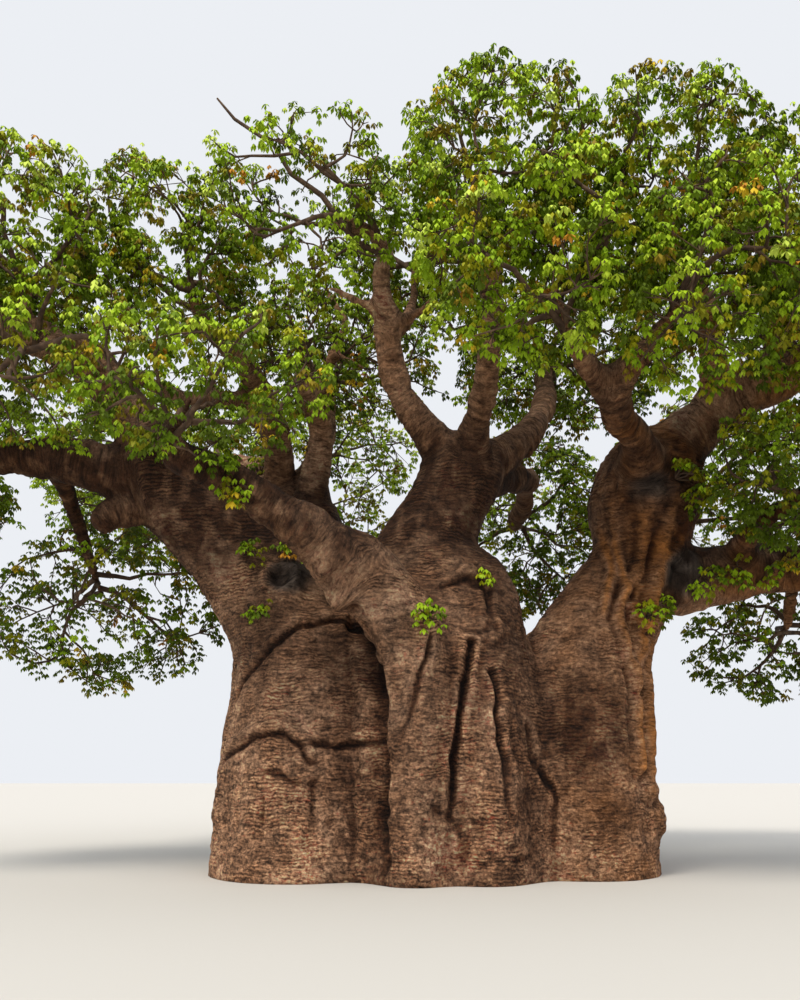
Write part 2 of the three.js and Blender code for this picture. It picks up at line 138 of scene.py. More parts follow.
# The leaves
SHOOTS_PER_M2 = 15  # leafy shoots on each square metre of a mass's oval
SHOOTS_TO_A_TWIG = 5
LEAVES = 5  # to a shoot
LEAFLETS = 5  # to a leaf
TRIANGLES_TO_A_LEAFLET = 2
LEAFLET_LENGTH = 0.1
LEAFLET_WIDTH = 0.45  # share of its length
LEAFLET_ARCH = 0.12  # share of its length
FAN = 2.1  # how far round its stalk's end a leaf's outer leaflets stand, in radians
PETIOLE = 0.1
LEAF_CLEARANCE = 0.1
SPROUT_SEED = 40
SPROUT_TONE = -0.25

# Columns of the trunk, from foot to top: x, y, z, half width and half depth
COLUMNS = {
    "left": [
        [-1.84, -0.62, -0.3, 1.16, 1.5],
        [-1.82, -0.6, 1.4, 1.1, 1.38],
        [-1.88, -0.5, 3.0, 0.92, 1.1],
        [-2.48, -0.5, 4.12, 0.78, 0.8],
        [-3.3, -0.75, 4.95, 0.64, 0.62],
        [-3.8, -0.95, 5.45, 0.44, 0.44],
    ],
    "front_left": [
        [-0.32, -1.75, -0.3, 0.48, 0.78],
        [-0.3, -1.82, 1.4, 0.42, 0.66],
        [-0.32, -1.86, 2.7, 0.42, 0.6],
        [-0.6, -2.02, 3.35, 0.42, 0.5],
        [-1.05, -2.3, 3.82, 0.36, 0.36],
    ],
    "front_right": [
        [0.62, -1.62, -0.3, 0.52, 0.78],
        [0.54, -1.66, 1.4, 0.45, 0.62],
        [0.54, -1.4, 2.8, 0.48, 0.54],
        [0.62, -1.1, 3.6, 0.42, 0.42],
        [0.45, -0.9, 4.1, 0.28, 0.28],
    ],
    "centre": [
        [0.1, -0.7, -0.3, 1.6, 1.5],
        [0.05, -0.8, 1.9, 1.4, 1.35],
        [-0.02, -0.95, 3.3, 1.08, 0.95],
        [-0.22, -0.85, 4.2, 0.7, 0.7],
        [0.08, -0.85, 4.9, 0.52, 0.54],
        [0.42, -0.82, 5.6, 0.46, 0.46],
    ],
    "right": [
        [1.97, -0.5, -0.3, 1.0, 1.32],
        [1.95, -0.5, 1.4, 1.02, 1.25],
        [2.08, -0.5, 2.7, 0.88, 0.96],
        [2.45, -0.52, 3.6, 0.68, 0.7],
        [2.75, -0.62, 4.3, 0.55, 0.56],
        [2.9, -0.75, 5.0, 0.74, 0.66],
        [3.02, -0.85, 5.45, 0.64, 0.58],
        [3.12, -0.9, 5.8, 0.34, 0.34],
    ],
    "back_left": [
        [-1.25, 1.2, -0.3, 1.3, 1.3],
        [-1.25, 1.25, 1.5, 1.15, 1.15],
        [-1.4, 1.3, 3.0, 0.92, 0.9],
        [-1.75, 1.25, 4.3, 0.66, 0.66],
        [-2.0, 1.15, 5.2, 0.5, 0.48],
    ],
    "back_middle": [
        [0.05, 1.75, -0.3, 0.85, 0.95],
        [0.05, 1.75, 1.4, 0.7, 0.78],
        [0.1, 1.5, 2.8, 0.55, 0.55],
        [0.1, 1.1, 3.5, 0.35, 0.35],
    ],
    "back_right": [
        [1.3, 1.2, -0.3, 1.25, 1.3],
        [1.35, 1.25, 1.3, 1.08, 1.1],
        [1.6, 1.4, 2.4, 0.84, 0.86],
        [2.15, 1.85, 3.25, 0.56, 0.58],
    ],
}

# Boughs: what each grows from, how far along it, its tip, its bow, and its radii at foot and tip
BOUGHS = {
    "bough_left_low": ("left", 0.95, (-6.4, -1.4, 5.42), (0, 0, 0.14), (0.35, 0.13)),
    "bough_left_rise": ("left", 0.97, (-5.75, -2.0, 7.15), (0.12, 0, 0.42), (0.31, 0.16)),
    "bough_left_stub": ("left", 0.84, (-4.5, -1.15, 4.72), (0, 0, 0.06), (0.24, 0.19)),
    "bough_front_low": ("front_left", 0.95, (-3.0, -3.15, 4.9), (0.02, 0, 0.06), (0.33, 0.18)),
    "bough_centre_left": ("centre", 0.95, (-0.7, -1.75, 8.2), (-0.4, 0, -0.12), (0.25, 0.08)),
    "bough_right_front": ("right", 0.82, (1.72, -3.1, 6.0), (0.1, -0.15, 0.02), (0.27, 0.14)),
    "bough_right_rise": ("right", 0.85, (5.45, -1.4, 7.0), (-0.2, 0, 0.2), (0.38, 0.2)),
    "bough_right_low": ("right", 0.4, (6.4, -0.6, 4.0), (0, 0, 0.45), (0.46, 0.24)),
    "bough_back_left": ("back_left", 0.95, (-3.4, 2.45, 6.65), (0, 0, 0.1), (0.38, 0.2)),
    "bough_back_right": ("back_right", 0.93, (4.15, 3.0, 5.1), (0.1, 0, 0.1), (0.4, 0.21)),
}

# Masses of leaves: the oval's middle and half sizes, and the bough whose tip is in it, where there is one
MASSES = {
    "left_low_outer": ((-7.6, -1.2, 5.1), (1.9, 2.1, 1.3), "bough_left_low"),
    "left_outer": ((-7.2, -1.2, 7.3), (2.2, 2.4, 1.6), "bough_left_rise"),
    "front_low": ((-2.7, -3.9, 5.5), (1.6, 1.2, 0.85), "bough_front_low"),
    "centre_top": ((-1.6, -2.4, 8.5), (1.65, 1.4, 1.0), "bough_centre_left"),
    "right_front_inner": ((1.1, -3.8, 6.95), (1.5, 1.4, 1.2), "bough_right_front"),
    "right_outer": ((7.0, -1.1, 7.3), (2.1, 2.4, 1.6), "bough_right_rise"),
    "right_low_outer": ((7.7, -0.6, 4.7), (1.85, 2.1, 1.35), "bough_right_low"),
    "back_left": ((-5.0, 3.2, 6.8), (2.2, 2.4, 1.8), "bough_back_left"),
    "back_right": ((5.3, 3.3, 6.5), (2.2, 2.4, 1.9), "bough_back_right"),
    "left_hanging": ((-4.95, 0.6, 3.85), (1.95, 1.6, 1.4), None),
    "left_top_outer": ((-5.3, -2.2, 8.0), (1.8, 1.9, 1.2), None),
    "left_front": ((-4.9, -3.3, 6.2), (1.75, 1.5, 1.1), None),
    "left_top_inner": ((-3.5, -1.3, 8.35), (1.75, 1.8, 1.3), None),
    "centre_left": ((-1.9, 0.2, 7.9), (1.5, 1.6, 1.2), None),
    "centre_high": ((-0.1, -0.2, 9.1), (1.7, 1.9, 1.15), None),
    "right_top_inner": ((0.75, -2.7, 8.5), (1.6, 1.6, 1.45), None),
    "right_front": ((2.85, -3.9, 6.75), (1.6, 1.35, 1.3), None),
    "right_top": ((2.8, -2.4, 8.65), (1.7, 1.7, 1.35), None),
    "right_top_outer": ((4.75, -1.6, 8.7), (1.75, 1.9, 1.4), None),
    "right_front_outer": ((4.8, -3.3, 6.75), (1.6, 1.5, 1.2), None),
    "right_low_front": ((4.6, -2.5, 5.0), (1.4, 1.3, 1.05), None),
    "right_hanging": ((5.5, 1.2, 3.4), (1.6, 1.5, 1.0), None),
    "back_middle": ((-2.2, 4.5, 7.3), (2.2, 2.2, 1.8), None),
    "back_high": ((-1.5, 2.1, 8.5), (2.1, 1.9, 1.3), None),
    "back_low": ((2.0, 4.4, 6.1), (2.1, 2.1, 2.0), None),
    "back_top": ((2.3, 1.7, 8.4), (2.2, 2.1, 1.4), None),
}

# Limbs that carry masses: what each grows from, how far along it, its bow, and its radius at the foot
LIMBS = {
    "left_hanging": ("bough_left_low", 0.55, (-0.1, 0.1, 0.3), 0.14),
    "left_top_outer": ("bough_left_rise", 0.88, (-0.15, 0, 0), 0.15),
    "left_front": ("bough_left_rise", 0.62, (0.1, 0, 0.15), 0.13),
    "left_top_inner": ("bough_back_left", 0.35, (0.3, 0.2, 0.4), 0.2),
    "centre_left": ("back_left", 0.96, (0.2, 0.1, 0), 0.22),
    "centre_high": ("bough_centre_left", 0.66, (0.12, 0.15, -0.05), 0.1),
    "right_top_inner": ("centre", 0.97, (0.1, -0.35, -0.2), 0.19),
    "right_front": ("bough_right_front", 0.8, (0, -0.1, 0), 0.17),
    "right_top": ("bough_right_rise", 0.45, (0.15, 0, 0), 0.2),
    "right_top_outer": ("bough_right_rise", 0.65, (0.15, 0, 0), 0.18),
    "right_front_outer": ("bough_right_rise", 0.78, (0.1, 0, 0.1), 0.15),
    "right_low_front": ("bough_right_low", 0.42, (0, 0, 0.15), 0.16),
    "right_hanging": ("bough_right_low", 0.7, (0, 0.1, 0.2), 0.14),
    "back_middle": ("bough_back_left", 0.85, (0, 0.1, 0.1), 0.2),
    "back_high": ("bough_back_left", 0.2, (0.2, -0.1, 0.2), 0.18),
    "back_low": ("centre", 0.88, (0.55, -0.5, 0.35), 0.22),
    "back_top": ("centre", 0.94, (0.3, -0.4, -0.3), 0.24),
}

# Thin crooked limbs between the masses: the limb that each grows from, and its places with their radii
SIDE_LIMBS = {
    "side_knee_left": ("bough_centre_left", [
        [-0.65, -1.5, 7.33, 0.085],
        [-0.89, -1.55, 7.55, 0.075],
        [-1.2, -1.6, 7.64, 0.065],
        [-1.51, -1.7, 7.74, 0.055],
        [-1.81, -1.8, 7.75, 0.05],
        [-2.03, -1.9, 7.9, 0.05],
    ]),
    "side_knee_right": ("bough_centre_left", [
        [-0.65, -1.45, 7.32, 0.08],
        [-0.33, -1.5, 7.46, 0.07],
        [-0.09, -1.6, 7.62, 0.055],
        [0.0, -1.7, 7.83, 0.05],
    ]),
    "side_crook": ("bough_centre_left", [
        [-0.72, -1.7, 8.04, 0.07],
        [-0.82, -1.8, 8.34, 0.07],
        [-1.12, -1.9, 8.39, 0.06],
        [-1.47, -2.0, 8.55, 0.05],
    ]),
    "side_rising": ("limb_centre_left", [
        [-1.8, 0.68, 6.68, 0.12],
        [-1.73, 0.5, 7.22, 0.1],
        [-1.52, 0.3, 7.77, 0.085],
        [-1.33, 0.2, 8.19, 0.075],
        [-1.53, 0.1, 8.51, 0.06],
        [-1.67, 0, 8.8, 0.05],
    ]),
    "side_stub": ("side_rising", [
        [-1.45, 0.25, 7.69, 0.055],
        [-1.22, 0.1, 7.52, 0.055],
        [-0.97, -0.1, 7.29, 0.05],
    ]),
    "side_cross": ("limb_left_top_inner", [
        [-2.47, 1.1, 6.65, 0.13],
        [-2.78, 0.8, 6.95, 0.125],
        [-3.14, 0.4, 7.05, 0.12],
        [-3.63, -0.2, 6.83, 0.115],
        [-3.95, -0.7, 6.82, 0.11],
        [-4.3, -1.1, 6.84, 0.11],
        [-4.58, -1.35, 6.74, 0.11],
    ]),
    "side_cross_outer": ("side_cross", [
        [-3.29, 0.25, 7.0, 0.075],
        [-3.37, 0.15, 7.39, 0.065],
        [-3.39, 0.05, 7.77, 0.055],
        [-3.21, -0.05, 8.14, 0.05],
    ]),
    "side_cross_inner": ("side_cross", [
        [-2.99, 0.6, 7.03, 0.065],
        [-2.94, 0.5, 7.41, 0.055],
        [-2.83, 0.5, 7.85, 0.05],
        [-2.54, 0.4, 8.06, 0.05],
    ]),
}

# Cracks down the trunk's front: a path of (x, z), its half width and its depth
CRACKS = [
    ([(-1.1, 3.23), (-0.89, 2.87), (-0.76, 2.24), (-0.71, 1.68), (-0.71, 1.12), (-0.75, 0.0)], 0.085, 0.18),
    ([(-0.16, 2.95), (-0.23, 2.5), (-0.33, 2.18), (-0.43, 1.73)], 0.035, 0.06),
    ([(0.36, 2.92), (0.28, 2.33), (0.2, 1.84), (0.14, 1.36), (0.1, 0.8)], 0.045, 0.11),
    ([(0.68, 2.6), (0.73, 2.2), (0.75, 1.7), (0.78, 1.24), (0.79, 0.8)], 0.045, 0.08),
    ([(1.12, 1.9), (1.18, 1.55), (1.29, 1.24), (1.44, 0.95), (1.47, 0.5)], 0.05, 0.07),
    ([(-1.57, 1.2), (-1.56, 0.6)], 0.04, 0.05),
    ([(-2.18, 1.0), (-2.18, 0.45)], 0.035, 0.04),
    ([(0.62, 3.6), (0.66, 3.3), (0.6, 3.1)], 0.04, 0.06),
]

# Ropes of wood up the right column: a path of (x, z), its half width and its height
ROPES = [
    ([(2.78, 4.9), (2.78, 4.34), (2.73, 4.07), (2.54, 3.8), (2.43, 3.41), (2.51, 2.95), (2.57, 2.41)],
     0.07, 0.08),
    ([(3.12, 4.75), (3.04, 4.24), (2.94, 3.74), (2.85, 3.32)], 0.08, 0.09),
    ([(2.65, 3.56), (2.79, 3.33), (2.74, 2.95), (2.57, 2.6), (2.53, 2.04), (2.57, 1.37)], 0.07, 0.08),
    ([(2.38, 4.97), (2.39, 4.56), (2.41, 4.19), (2.51, 3.73)], 0.06, 0.055),
    ([(2.16, 4.78), (2.28, 4.38), (2.31, 3.98), (2.23, 3.49)], 0.06, 0.045),
    ([(2.9, 3.09), (2.82, 2.55), (2.77, 1.89), (2.81, 1.11)], 0.08, 0.08),
]

# Folds across the trunk's front, their upper lip overhanging: a path of (x, z), and the lip's size
FOLDS = [
    ([(-2.8, 1.5), (-2.57, 1.65), (-2.35, 1.78), (-2.12, 1.86), (-1.91, 1.82), (-1.73, 1.71), (-1.54, 1.45)],
     0.07),
    ([(-1.74, 1.72), (-1.36, 1.67), (-0.99, 1.71), (-0.72, 1.74)], 0.055),
    ([(-2.6, 2.35), (-2.46, 2.61), (-2.15, 2.95), (-1.81, 3.25), (-1.39, 3.36), (-1.1, 3.22)], 0.05),
    ([(0.0, 3.68), (0.14, 3.75), (0.34, 3.78), (0.53, 3.71), (0.64, 3.5)], 0.05),
    ([(-2.2, 1.32), (-1.9, 1.3), (-1.65, 1.22)], 0.035),
]

# Knots, hollows and knobs: place, radius and depth, where a negative depth stands out
KNOTS = [
    ((-2.06, -1.3, 3.86), 0.15, 0.13),
    ((-1.88, -1.35, 3.98), 0.17, -0.12),
    ((-2.3, -1.3, 3.74), 0.13, -0.08),
    ((-1.95, -1.45, 3.62), 0.12, -0.07),
    ((0.6, -1.75, 3.12), 0.15, 0.12),
    ((0.7, -1.7, 3.3), 0.13, -0.08),
    ((0.36, -1.75, 3.91), 0.12, -0.13),
    ((-0.13, -2.35, 3.12), 0.14, -0.12),
    ((-0.22, -2.35, 2.95), 0.1, -0.08),
    ((0.48, -2.25, 0.98), 0.22, -0.06),
    ((2.82, -1.0, 0.72), 0.24, -0.16),
    ((-2.75, -1.2, 0.9), 0.3, -0.08),
    ((3.2, -1.0, 4.25), 0.13, -0.12),
    ((3.45, -0.9, 4.1), 0.16, -0.14),
    ((3.18, -1.1, 3.95), 0.12, -0.12),
    ((3.36, -1.0, 3.78), 0.13, -0.1),
    ((2.1, -1.3, 5.05), 0.22, -0.14),
    ((2.02, -1.2, 4.82), 0.17, -0.11),
    ((2.6, -1.4, 5.12), 0.16, -0.13),
    ((2.86, -1.4, 5.06), 0.17, -0.15),
    ((3.1, -1.35, 5.14), 0.15, -0.13),
    ((2.8, -1.35, 5.25), 0.3, -0.1),
    ((-0.54, -1.5, 7.38), 0.16, -0.06),
    ((-0.72, -1.5, 7.22), 0.12, -0.05),
    ((-0.76, -1.65, 7.98), 0.12, -0.05),
    ((-1.42, -1.95, 2.33), 0.5, -0.06),
]

# Healed scars of bare grey skin: middle and radius
SCARS = [
    ((2.85, -1.3, 5.14), 0.3),
    ((3.35, -0.9, 4.1), 0.32),
    ((-2.0, -1.3, 3.85), 0.28),
]

# Dark patches on the trunk's front, partly stains and partly painted shade, as on the burl at (3.35, 4.05):
# middle (x, z), radius and strength
STAINS_AND_SHADE = [
    ((1.9, 1.95), 0.6, 1.2),
    ((2.3, 0.9), 0.35, 0.5),
    ((0.95, 2.75), 0.4, 0.6),
    ((-1.2, 2.75), 0.45, 0.7),
    ((-2.35, 3.2), 0.5, 0.8),
    ((-0.55, 3.0), 0.3, 0.5),
    ((0.35, 2.3), 0.22, 0.5),
    ((3.35, 4.05), 0.3, 1.2),
    ((-1.0, 1.1), 0.3, 0.4),
    ((-1.1, 3.9), 0.5, 0.75),
    ((-1.85, 2.45), 0.5, 0.22),
    ((-2.1, 4.45), 0.7, 1.0),
    ((0.1, 4.8), 0.6, 1.0),
]

# The long bare twig that stands out of the top left of the middle
LONG_TWIG = [
    (-0.72, -1.76, 8.18),
    (-1.08, -1.9, 8.26),
    (-1.5, -2.1, 8.78),
    (-1.9, -2.2, 9.02),
    (-2.12, -2.25, 9.38),
    (-2.62, -2.3, 9.7),
    (-2.84, -2.35, 9.95),
]

# How full some masses are, where 1 is the rest
DENSITY = {
    "centre_top": 0.28,
    "centre_left": 0.4,
    "centre_high": 0.68,
    "back_high": 0.5,
    "back_middle": 0.55,
    "front_low": 0.6,
    "left_front": 0.33,
    "left_top_inner": 0.85,
    "left_hanging": 0.6,
    "right_hanging": 0.6,
}

# How many more twigs some masses have for their leaves than the rest
TWIGGINESS = {"centre_top": 4, "centre_left": 2.5, "back_high": 1.6}

# Sprouts on the front of trunk and boughs: place (x, z), how far its shoots spread and how many there are
SPROUTS = [
    ((-2.49, 4.25), 0.2, 5),
    ((-2.26, 3.38), 0.18, 5),
    ((-1.97, 4.12), 0.22, 6),
    ((-2.3, 4.55), 0.2, 6),
    ((-0.16, 3.15), 0.22, 7),
    ((0.54, 3.86), 0.1, 3),
    ((2.78, 3.38), 0.2, 6),
    ((3.0, 3.6), 0.18, 5),
    ((3.15, 5.2), 0.26, 8),
    ((3.42, 5.1), 0.32, 10),
    ((3.62, 4.0), 0.24, 8),
    ((4.1, 4.1), 0.24, 7),
    ((4.6, 4.15), 0.28, 9),
    ((-4.94, 5.67), 0.26, 8),
    ((-3.72, 5.62), 0.3, 10),
    ((-3.05, 5.39), 0.26, 8),
    ((-2.15, 4.85), 0.24, 7),
    ((-2.67, 4.87), 0.2, 6),
    ((-5.65, 5.67), 0.28, 8),
    ((-2.82, 6.27), 0.3, 9),
]

# Colours of the leaves, from dark to light, and the share of the shoots that has each; the leaves' painted
# light and shade moves a shoot along them
LEAF_COLOURS = [
    ("leaf_shade", "#4f610c", 0.11),
    ("leaf_moss", "#74750d", 0.09),
    ("leaf_deep", "#637c10", 0.1),
    ("leaf_dry", "#8f900f", 0.09),
    ("leaf_dark", "#7b9812", 0.14),
    ("leaf_green", "#96b21e", 0.23),
    ("leaf_fresh", "#abc233", 0.16),
    ("leaf_light", "#bdcf50", 0.08),
]

# Colours of leaves about to fall, and the share of the shoots that has each
TURNING_COLOURS = [
    ("leaf_yellow", "#c9ab26", 0.011),
    ("leaf_amber", "#b57f24", 0.006),
    ("leaf_olive", "#7c6c16", 0.06),
]


def chance(seed, item, channel):
    """Repeatable chance from 0 to 1: the same for the same three whole numbers, as in the solids."""
    wave = np.sin(seed * 12.9898 + item * 78.233 + channel * 37.719) * 43758.5453
    return wave - np.floor(wave)


def unit(v):
    return v / np.maximum(np.linalg.norm(v, axis=-1, keepdims=True), 1e-9)


def lattice_noise(p, seed):
    """Smooth noise from 0 to 1 at each place in p, with cells one unit wide."""
    cell = np.floor(p).astype(np.int64)
    t = p - cell
    t = t * t * (3 - 2 * t)
    total = np.zeros(len(p))
    for corner in range(8):
        step = np.array([corner & 1, corner >> 1 & 1, corner >> 2 & 1])
        n = (cell + step) * np.array([73856093, 19349663, 83492791])
        h = (n[:, 0] ^ n[:, 1] ^ n[:, 2]) + seed * 2654435
        h = (h ^ (h >> 13)) * 1274126177 & 0x7FFFFFFF
        h = (h ^ (h >> 16)) & 0xFFFF
        total += h / 65535.0 * np.prod(np.where(step, t, 1 - t), axis=1)
    return total


def noise(p, size, seed, layers=1):
    """Layered noise from about -1 to 1; size is the width of its largest lumps, one number or three."""
    total, weight = 0.0, 0.0
    for layer in range(layers):
        share = 0.5 ** layer
        cells = p / np.array(size) * 2 ** layer + 17.3 * layer
        total = total + share * (2 * lattice_noise(cells, seed + layer) - 1)
        weight += share
    return total / weight


def smooth_at(values, share):
    """A smooth run through evenly spread rows of values, as in the solids."""
    values = np.asarray(values, float)
    place = np.clip(share, 0, 1) * (len(values) - 1)
    i = min(int(math.floor(place)), len(values) - 2)
    t = place - i
    a, b, c, d = (values[min(max(i + k, 0), len(values) - 1)] for k in (-1, 0, 1, 2))
    slope, square, cube = c - a, 2 * a - 5 * b + 4 * c - d, 3 * b - a - 3 * c + d
    return 0.5 * (2 * b + slope * t + square * t * t + cube * t ** 3)


class Column:
    """One column of the trunk: its axis and its half width and half depth."""

    def __init__(self, stations):
        self.stations = np.array(stations)

    def at(self, share):
        return smooth_at(self.stations, share)[:3]

    def halves(self, share):
        row = smooth_at(self.stations, share)
        return row[3:] * (1 + ROOT_FLARE * math.exp(-max(row[2], 0) / FLARE_HEIGHT))


class Limb:
    """One bough or limb: a bowed axis and a tapering radius with a collar at its foot."""

    def __init__(self, foot, tip, bow, foot_radius, tip_radius):
        self.foot = np.array(foot, float)
        self.tip = np.array(tip, float)
        self.bend = (self.foot + self.tip) / 2 + 2 * np.array(bow, float)
        self.foot_radius = foot_radius
        self.tip_radius = tip_radius

    def at(self, share):
        return (1 - share) ** 2 * self.foot + 2 * share * (1 - share) * self.bend + share ** 2 * self.tip

    def radius(self, share):
        taper = self.tip_radius + (self.foot_radius - self.tip_radius) * max(1 - share, 0) ** LIMB_TAPERING
        return taper * (1 + COLLAR * math.exp(-share / COLLAR_REACH))

    def halves(self, share):
        return np.array([self.radius(share)] * 2)


class SideLimb:
    """A crooked limb: a smooth run through its places, round and tapering."""

    def __init__(self, stations):
        self.stations = np.array(stations)

    def at(self, share):
        return smooth_at(self.stations, share)[:3]

    def halves(self, share):
        return np.array([smooth_at(self.stations, share)[3]] * 2)


class Mass:
    """One mass of leaves: its oval space and the limb that carries it."""

    def __init__(self, name, index):
        middle, size, tip_of = MASSES[name]
        self.name = name
        self.seed = index + 1
        self.centre = np.array(middle, float)
        self.extent = np.array(size, float)
        self.limb_name = tip_of or f"limb_{name}"

    def outwardness(self, places):
        return np.linalg.norm((places - self.centre) / self.extent, axis=-1)

    def place(self, direction, share):
        return self.centre + direction * self.extent * np.asarray(share)[..., None]


def grow_axes():
    """Every column, bough and limb of the solids, by name."""
    axes = {name: Column(stations) for name, stations in COLUMNS.items()}
    for name, (on, at, tip, bow, radii) in BOUGHS.items():
        axes[name] = Limb(axes[on].at(at), tip, bow, *radii)
    for mass in masses:
        if mass.name not in LIMBS:
            continue
        on, at, bow, foot = LIMBS[mass.name]
        start = axes[on].at(at)
        inward = start - mass.centre
        entry = mass.centre + inward * ENTRY / np.linalg.norm(inward / mass.extent)
        tip_radius = min(max(foot * LIMB_TAPER, MIN_LIMB_TIP), MAX_LIMB_TIP)
        axes[mass.limb_name] = Limb(start, entry, bow, foot, tip_radius)
    return axes


masses = [Mass(name, index) for index, name in enumerate(MASSES)]
axes = grow_axes()


def tube_faces(index):
    """The triangles between each ring of corners and the next, from the corners' numbers ring by ring."""
    turned = np.roll(index, -1, axis=-1)
    corners = (index[..., :-1, :], turned[..., :-1, :], turned[..., 1:, :], index[..., 1:, :])
    quads = np.stack(corners, axis=-1).reshape(-1, 4)
    return np.concatenate([quads[:, [0, 1, 2]], quads[:, [0, 2, 3]]])


def twig_tubes(lines, radii, sides):
    """Thin open tubes along many lines at once: lines is (twigs, rings, 3), radii has one number a ring."""
    count, rings = lines.shape[:2]
    heading = unit(np.gradient(lines, axis=1))
    helper = np.where(np.abs(heading[:, :1, 2:]) > 0.9, np.array([1.0, 0, 0]), np.array([0, 0, 1.0]))
    across = unit(np.cross(np.broadcast_to(helper, heading.shape), heading))
    along = np.cross(heading, across)
    turn = 2 * math.pi * np.arange(sides) / sides
    ring = across[:, :, None] * np.cos(turn)[:, None] + along[:, :, None] * np.sin(turn)[:, None]
    verts = lines[:, :, None] + ring * np.asarray(radii)[None, :, None, None]
    index = np.arange(count * rings * sides).reshape(count, rings, sides)
    return verts.reshape(-1, 3), tube_faces(index)


def joined(groups):
    """Several meshes as one: each group has arrays of corners and triangles."""
    counts = [len(verts) for verts, _ in groups]
    starts = np.cumsum([0] + counts[:-1])
    verts = np.concatenate([verts for verts, _ in groups])
    return verts, np.concatenate([tris + start for (_, tris), start in zip(groups, starts)])


def make_object(name, verts, tris):
    """A smooth mesh object from arrays of corners and triangles."""
    mesh = bpy.data.meshes.new(name)
    mesh.vertices.add(len(verts))
    mesh.vertices.foreach_set("co", np.ascontiguousarray(verts, dtype=np.float32).ravel())
    mesh.loops.add(len(tris) * 3)
    mesh.loops.foreach_set("vertex_index", np.ascontiguousarray(tris, dtype=np.int32).ravel())
    mesh.polygons.add(len(tris))
    mesh.polygons.foreach_set("loop_start", np.arange(0, len(tris) * 3, 3, dtype=np.int32))
    mesh.update(calc_edges=True)
    mesh.validate()
    mesh.shade_smooth()
    obj = bpy.data.objects.new(name, mesh)
    bpy.context.scene.collection.objects.link(obj)
    return obj


# The bark

class Tube:
    """A column or limb as a line of places with half widths, and the frame of its cross-section at each."""

    def __init__(self, name, axis):
        self.is_column = isinstance(axis, Column)
        shares = np.linspace(0, 1, AXIS_PLACES)
        line = np.array([axis.at(share) for share in shares])
        halves = np.array([axis.halves(share) for share in shares])
        if not self.is_column:
            line, halves = gnarled(name, line, halves, shares)
        mass = next((each for each in masses if each.limb_name == name), None)
        if mass:
            stem = stem_places(mass, STEM_SHARES)
            taper = axis.tip_radius + (STEM_TIP_RADIUS - axis.tip_radius) * STEM_SHARES ** STEM_TAPERING
            line = np.concatenate([line, stem])
            halves = np.concatenate([halves, np.stack([taper, taper], axis=1)])
        angles = np.linspace(0, math.pi / 2, 6)[1:]
        heading = unit(line[-1] - line[-2])
        dome = line[-1] + heading * (np.sin(angles) * halves[-1].mean() * DOME_HEIGHT)[:, None]
        self.halves = np.concatenate([halves, halves[-1] * np.maximum(np.cos(angles), DOME_TIP)[:, None]])
        self.line = np.concatenate([line, dome])
        self.heading = unit(np.gradient(self.line, axis=0))
        helper = np.array([0, 1.0, 0])
        if not self.is_column and abs(self.heading[0, 1]) >= 0.8:
            helper = np.array([1.0, 0, 0])
        self.across = unit(np.cross(np.broadcast_to(helper, self.heading.shape), self.heading))
        self.up = np.cross(self.heading, self.across)
        steps = np.linalg.norm(np.diff(self.line, axis=0), axis=1)
        self.length = np.concatenate([[0], np.cumsum(steps)])

    def skin(self, sides):
        """A closed tube: its corners and triangles."""
        turn = 2 * math.pi * np.arange(sides) / sides
        verts = (
            self.line[:, None]
            + self.across[:, None] * (np.cos(turn)[:, None] * self.halves[:, None, :1])
            + self.up[:, None] * (np.sin(turn)[:, None] * self.halves[:, None, 1:])
        ).reshape(-1, 3)
        rings = len(self.line)
        index = np.arange(rings * sides).reshape(rings, sides)
        tris = [tube_faces(index)]
        for row, flip in ((0, True), (rings - 1, False)):
            middle = np.full(sides, len(verts))
            verts = np.concatenate([verts, self.line[row:row + 1]])
            fan = np.stack([index[row], np.roll(index[row], -1), middle], axis=-1)
            tris.append(fan[:, ::-1] if flip else fan)
        return verts, np.concatenate(tris)

    def depth(self, places):
        """How far each place is outside the tube, how far along it lies and the tube's girth there; places
        well away are only marked far."""
        margin = self.halves.max() + NEAR
        low, high = self.line.min(axis=0) - margin, self.line.max(axis=0) + margin
        near = np.flatnonzero(((places > low) & (places < high)).all(axis=1))
        p = places[near]
        best, station = np.full(len(near), FAR), np.zeros(len(near), int)
        for k, (middle, half) in enumerate(zip(self.line, self.halves)):
            offset = p - middle
            sides = (self.across[k] / half[0], self.up[k] / half[1], self.heading[k] / half.mean())
            stretch = np.maximum(np.linalg.norm(offset @ np.stack(sides, axis=1), axis=1), 1e-3)
            depth = np.linalg.norm(offset, axis=1) * (1 - 1 / stretch)
            nearer = depth < best
            best[nearer] = depth[nearer]
            station[nearer] = k
        depths = np.full(len(places), FAR)
        depths[near] = best
        alongs = np.zeros(len(places))
        alongs[near] = self.length[station]
        girths = np.ones(len(places))
        girths[near] = self.halves.mean(axis=1)[station]
        return depths, alongs, girths


def gnarled(name, line, halves, shares):
    """A limb's line strayed and its girth made lumpy, more towards its middle than its ends."""
    seed = sum(map(ord, name))
    stray = np.stack([noise(line, 0.75, seed + k, 2) for k in range(3)], axis=1)
    envelope = np.sin(math.pi * shares) ** 0.6 * WIGGLE
    line = line + stray * (envelope * halves[:, 0])[:, None] * 2
    lumps = 1 + GIRTH_LUMPS * noise(line, 0.45, seed + 9, 2)
    return line, halves * lumps[:, None]


def stem_places(mass, shares):
    """Places along the stem that carries a limb on into its mass."""
    limb = axes[mass.limb_name]
    heart = mass.centre * 0.8 + limb.tip * 0.2
    heading = unit(limb.tip - limb.at(0.97))
    bend = limb.tip + heading * np.linalg.norm(heart - limb.tip) * 0.35
    t = np.asarray(shares)[:, None]
    return (1 - t) ** 2 * limb.tip + 2 * t * (1 - t) * bend + t ** 2 * heart


